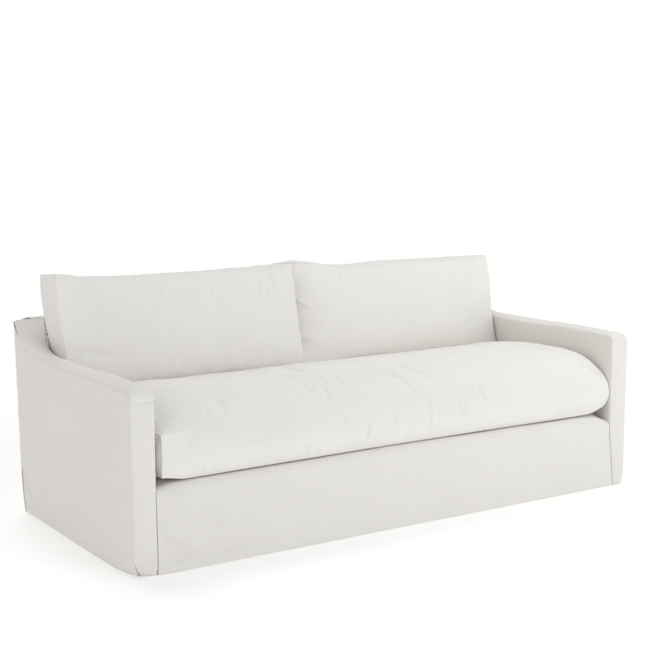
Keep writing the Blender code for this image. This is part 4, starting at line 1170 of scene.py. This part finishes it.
def seat_cushion(material):
    length = SEAT_LEFT + SEAT_RIGHT
    near = spaced(FINE_DEPTH, SEAT_CELL, True, False) * FINE_DEPTH / SEAT_DEPTH
    rear = spaced(SEAT_DEPTH - FINE_DEPTH, SEAT_REAR_CELL, True, False)[::-1]
    far = 1.0 - rear * (1 - FINE_DEPTH / SEAT_DEPTH)
    lines = [spaced(length, SEAT_CELL), np.concatenate([near, far[1:]]), spaced(BOXING, SEAT_CELL)]

    def relief(shares, start, seam):
        _, b, c = shares.T
        x = start[:, 0]
        run = np.where(b == 0, c * BOXING, BOXING + b * SEAT_DEPTH)
        end = np.minimum(x + SEAT_LEFT, SEAT_RIGHT - x)
        creases = fold_rise(SEAT_FOLDS, x, run)
        gathers = (puckers(run, x, SEAT_FOOT, 201) + puckers(np.abs(run - BOXING), x, SEAT_RIDGE, 203)
                   + puckers(end, run, SEAT_SIDES, 205))
        belly = BELLY * np.sin(math.pi * np.minimum(run / BELLY_HEIGHT, 1.0)) ** 2 * smooth(end / BELLY_END)
        waves = waviness(SEAT_RIPPLES, x, run, (207, 208)) + belly
        calm = (smooth(run / NARROW_CALM) * smooth((1.0 - b) / CREASE_REAR_FADE)
                * smooth(end / NARROW_CALM))
        shown = np.where((b == 0) | (c == 1), (creases + gathers + waves) * calm, 0.0)
        return shown + seam_lip(seam, 0.0012, 0.0009) * smooth(LIP_FULL - (x + SEAT_LEFT) / LIP_FADE)

    def wrinkle(shares):
        _, b, c = shares.T
        amount = np.where(b == 0, mix(SEAT_FOOT_WRINKLES, SEAT_TOP_WRINKLES, c), SEAT_TOP_WRINKLES)
        return np.where(c > 0, amount, 0.0) * smooth((1 - b) / SEAT_REAR_FADE)

    cushion("seat_cushion_filled", "seat_cushion", lines, (length, SEAT_DEPTH, BOXING), seat_form,
            False, relief, wrinkle, material)


def back_cushion(side, word, top_rows, material):
    sizes = (CUSHION_SIDE, CUSHION_THICKNESS, BACK_BOXING)
    lines = [spaced(size, BACK_CELL) for size in sizes]

    def relief(shares, start, seam):
        a, b, c = shares.T
        across = np.abs(start[:, 0])
        up = c * BACK_BOXING
        creases = fold_rise(BACK_CUSHION_FOLDS[side], across, up)
        upright = np.minimum(a, 1 - a) * CUSHION_SIDE < seam + 1e-6
        along = np.where(upright, start[:, 2], start[:, 0])
        gathers = puckers(seam, along, BACK_CUSHION_SEAM, 301 + side)
        waves = waviness(BACK_RIPPLES, across, up, (303 + side, 305))
        face = (creases + waves * smooth(seam / CALM)) * (b == 0)
        return face + gathers * smooth(seam / SEAM_CLEAR) + seam_lip(seam, 0.0014, 0.0010)

    def wrinkle(shares):
        _, b, c = shares.T
        amount = np.where(b < REAR_SHARE, BACK_WRINKLES, 0.0)
        return amount * smooth(c / BACK_FOOT_FADE + BACK_FOOT_START)

    cushion("back_cushion_" + word + "_filled", "back_cushion_" + word, lines, sizes,
            lambda p: back_form(p, side, top_rows), side < 0, relief, wrinkle, material)


# ---- camera, floor and light ----
CAMERA_PLACE = (-3.035, -4.571, 1.522)
CAMERA_DIP = 0.1472       # how far it looks down, in radians
CAMERA_TURN = -0.5822     # and to the side
CAMERA_LENS = 75.0        # millimetres
CAMERA_SENSOR = 36.0
FLOOR_SIZE = 60.0
FLOOR_LIFT = 0.145        # a faint glow that keeps the far floor white
ROOM_LIGHT = 0.45         # the pale studio around the cover
SEEN_WHITE = 1.05         # and how bright the camera sees it
# Far, broad lights: the direction each comes from, its strength, the angle that it covers in degrees
# and its colour.
FarLight = namedtuple("FarLight", "name x y z strength softness colour")
FAR_LIGHTS = (
    FarLight("high_behind", 0.10, 0.60, 1.00, 1.03, 40.0, (1.0, 1.0, 1.0)),
    FarLight("window_left", -1.00, -0.20, 0.50, 0.75, 60.0, (1.0, 0.975, 0.93)),
    FarLight("front_low", 0.50, -1.00, 0.25, 1.02, 40.0, (0.98, 0.995, 1.0)),
)
# Near panels of light: where each stands, where it aims, its side and its power in watts.
NearLight = namedtuple("NearLight", "name x y z aim_x aim_z side power colour")
NEAR_LIGHTS = (
    NearLight("panel_right", 1.40, -1.30, 2.30, 0.40, 0.50, 1.20, 11.0, (0.97, 0.99, 1.0)),
    NearLight("panel_front", 2.20, -3.00, 0.90, 0.40, 0.50, 1.40, 2.8, (0.97, 0.99, 1.0)),
)


def add_camera():
    data = bpy.data.cameras.new("camera")
    data.lens = CAMERA_LENS
    data.sensor_width = CAMERA_SENSOR
    camera = bpy.data.objects.new("camera", data)
    camera.location = CAMERA_PLACE
    camera.rotation_euler = (math.pi / 2 - CAMERA_DIP, 0.0, CAMERA_TURN)
    bpy.context.scene.collection.objects.link(camera)
    bpy.context.scene.camera = camera


def add_floor():
    bpy.ops.object.select_all(action="DESELECT")
    bpy.ops.mesh.primitive_plane_add(size=FLOOR_SIZE, location=(0, 0, 0))
    floor = bpy.context.active_object
    floor.name = "studio_floor"
    material = bpy.data.materials.new("pale_floor")
    material.use_nodes = True
    shader = material.node_tree.nodes["Principled BSDF"]
    shader.inputs["Base Color"].default_value = (0.96, 0.96, 0.96, 1.0)
    shader.inputs["Roughness"].default_value = 0.9
    shader.inputs["Specular IOR Level"].default_value = 0.1
    shader.inputs["Emission Color"].default_value = (1.0, 1.0, 1.0, 1.0)
    shader.inputs["Emission Strength"].default_value = FLOOR_LIFT
    floor.data.materials.append(material)


def add_light(name, kind, comes_from, strength, colour):
    data = bpy.data.lights.new(name, kind)
    data.energy = strength
    data.color = colour
    light = bpy.data.objects.new(name, data)
    light.rotation_euler = Vector(comes_from).to_track_quat("Z", "Y").to_euler()
    bpy.context.scene.collection.objects.link(light)
    return light


def add_world():
    world = bpy.data.worlds.new("studio")
    bpy.context.scene.world = world
    world.use_nodes = True
    tree = world.node_tree
    background = tree.nodes["Background"]
    start = Shade(tree)
    seen = start.node("ShaderNodeLightPath", None, None, 0)
    strength = seen * (SEEN_WHITE - ROOM_LIGHT) + ROOM_LIGHT
    tree.links.new(strength.socket, background.inputs["Strength"])
    background.inputs["Color"].default_value = (1.0, 1.0, 1.0, 1.0)


def add_lights():
    for row in FAR_LIGHTS:
        light = add_light(row.name, "SUN", (row.x, row.y, row.z), row.strength, row.colour)
        light.data.angle = math.radians(row.softness)
    for row in NEAR_LIGHTS:
        light = add_light(row.name, "AREA", (row.x - row.aim_x, row.y, row.z - row.aim_z),
                          row.power, row.colour)
        light.location = (row.x, row.y, row.z)
        light.data.size = row.side


# ---- everything ----
COVER_COLOUR = (0.735, 0.716, 0.687, 1.0)
COVER_SHADE = (0.630, 0.612, 0.583, 1.0)      # painted shade between the threads, and the darker tone of thin threads and clouds
# The cushions take the cover's own cloth painted about six per cent lighter, in both its colour and its
# thread shade: painted light for the brighter light on them.
CUSHION_PAINTED_LIGHT_COLOUR = (0.778, 0.761, 0.729, 1.0)
CUSHION_PAINTED_LIGHT_SHADE = (0.669, 0.652, 0.620, 1.0)
cover = woven_cloth("off_white_cover_cloth", COVER_COLOUR, COVER_SHADE)
# painted light: the cushions get the lighter copy of the cover cloth
filled = woven_cloth("off_white_cushion_cloth_painted_lighter", CUSHION_PAINTED_LIGHT_COLOUR, CUSHION_PAINTED_LIGHT_SHADE)
for side, word in ((LEFT, "left"), (RIGHT, "right")):
    outside_arm(side, word, cover)
    arm_front(side, word, cover)
    arm_top(side, word, cover)
    inside_arm(side, word, cover)
front_panel(cover)
seat_deck(cover)
inside_back(cover)
back_top(cover)
outside_back(cover)
seat_cushion(filled)
back_cushion(LEFT, "left", TOP_LEFT, filled)
back_cushion(RIGHT, "right", TOP_RIGHT, filled)
add_camera()
add_floor()
add_world()
add_lights()
bpy.context.scene.view_settings.view_transform = "Standard"
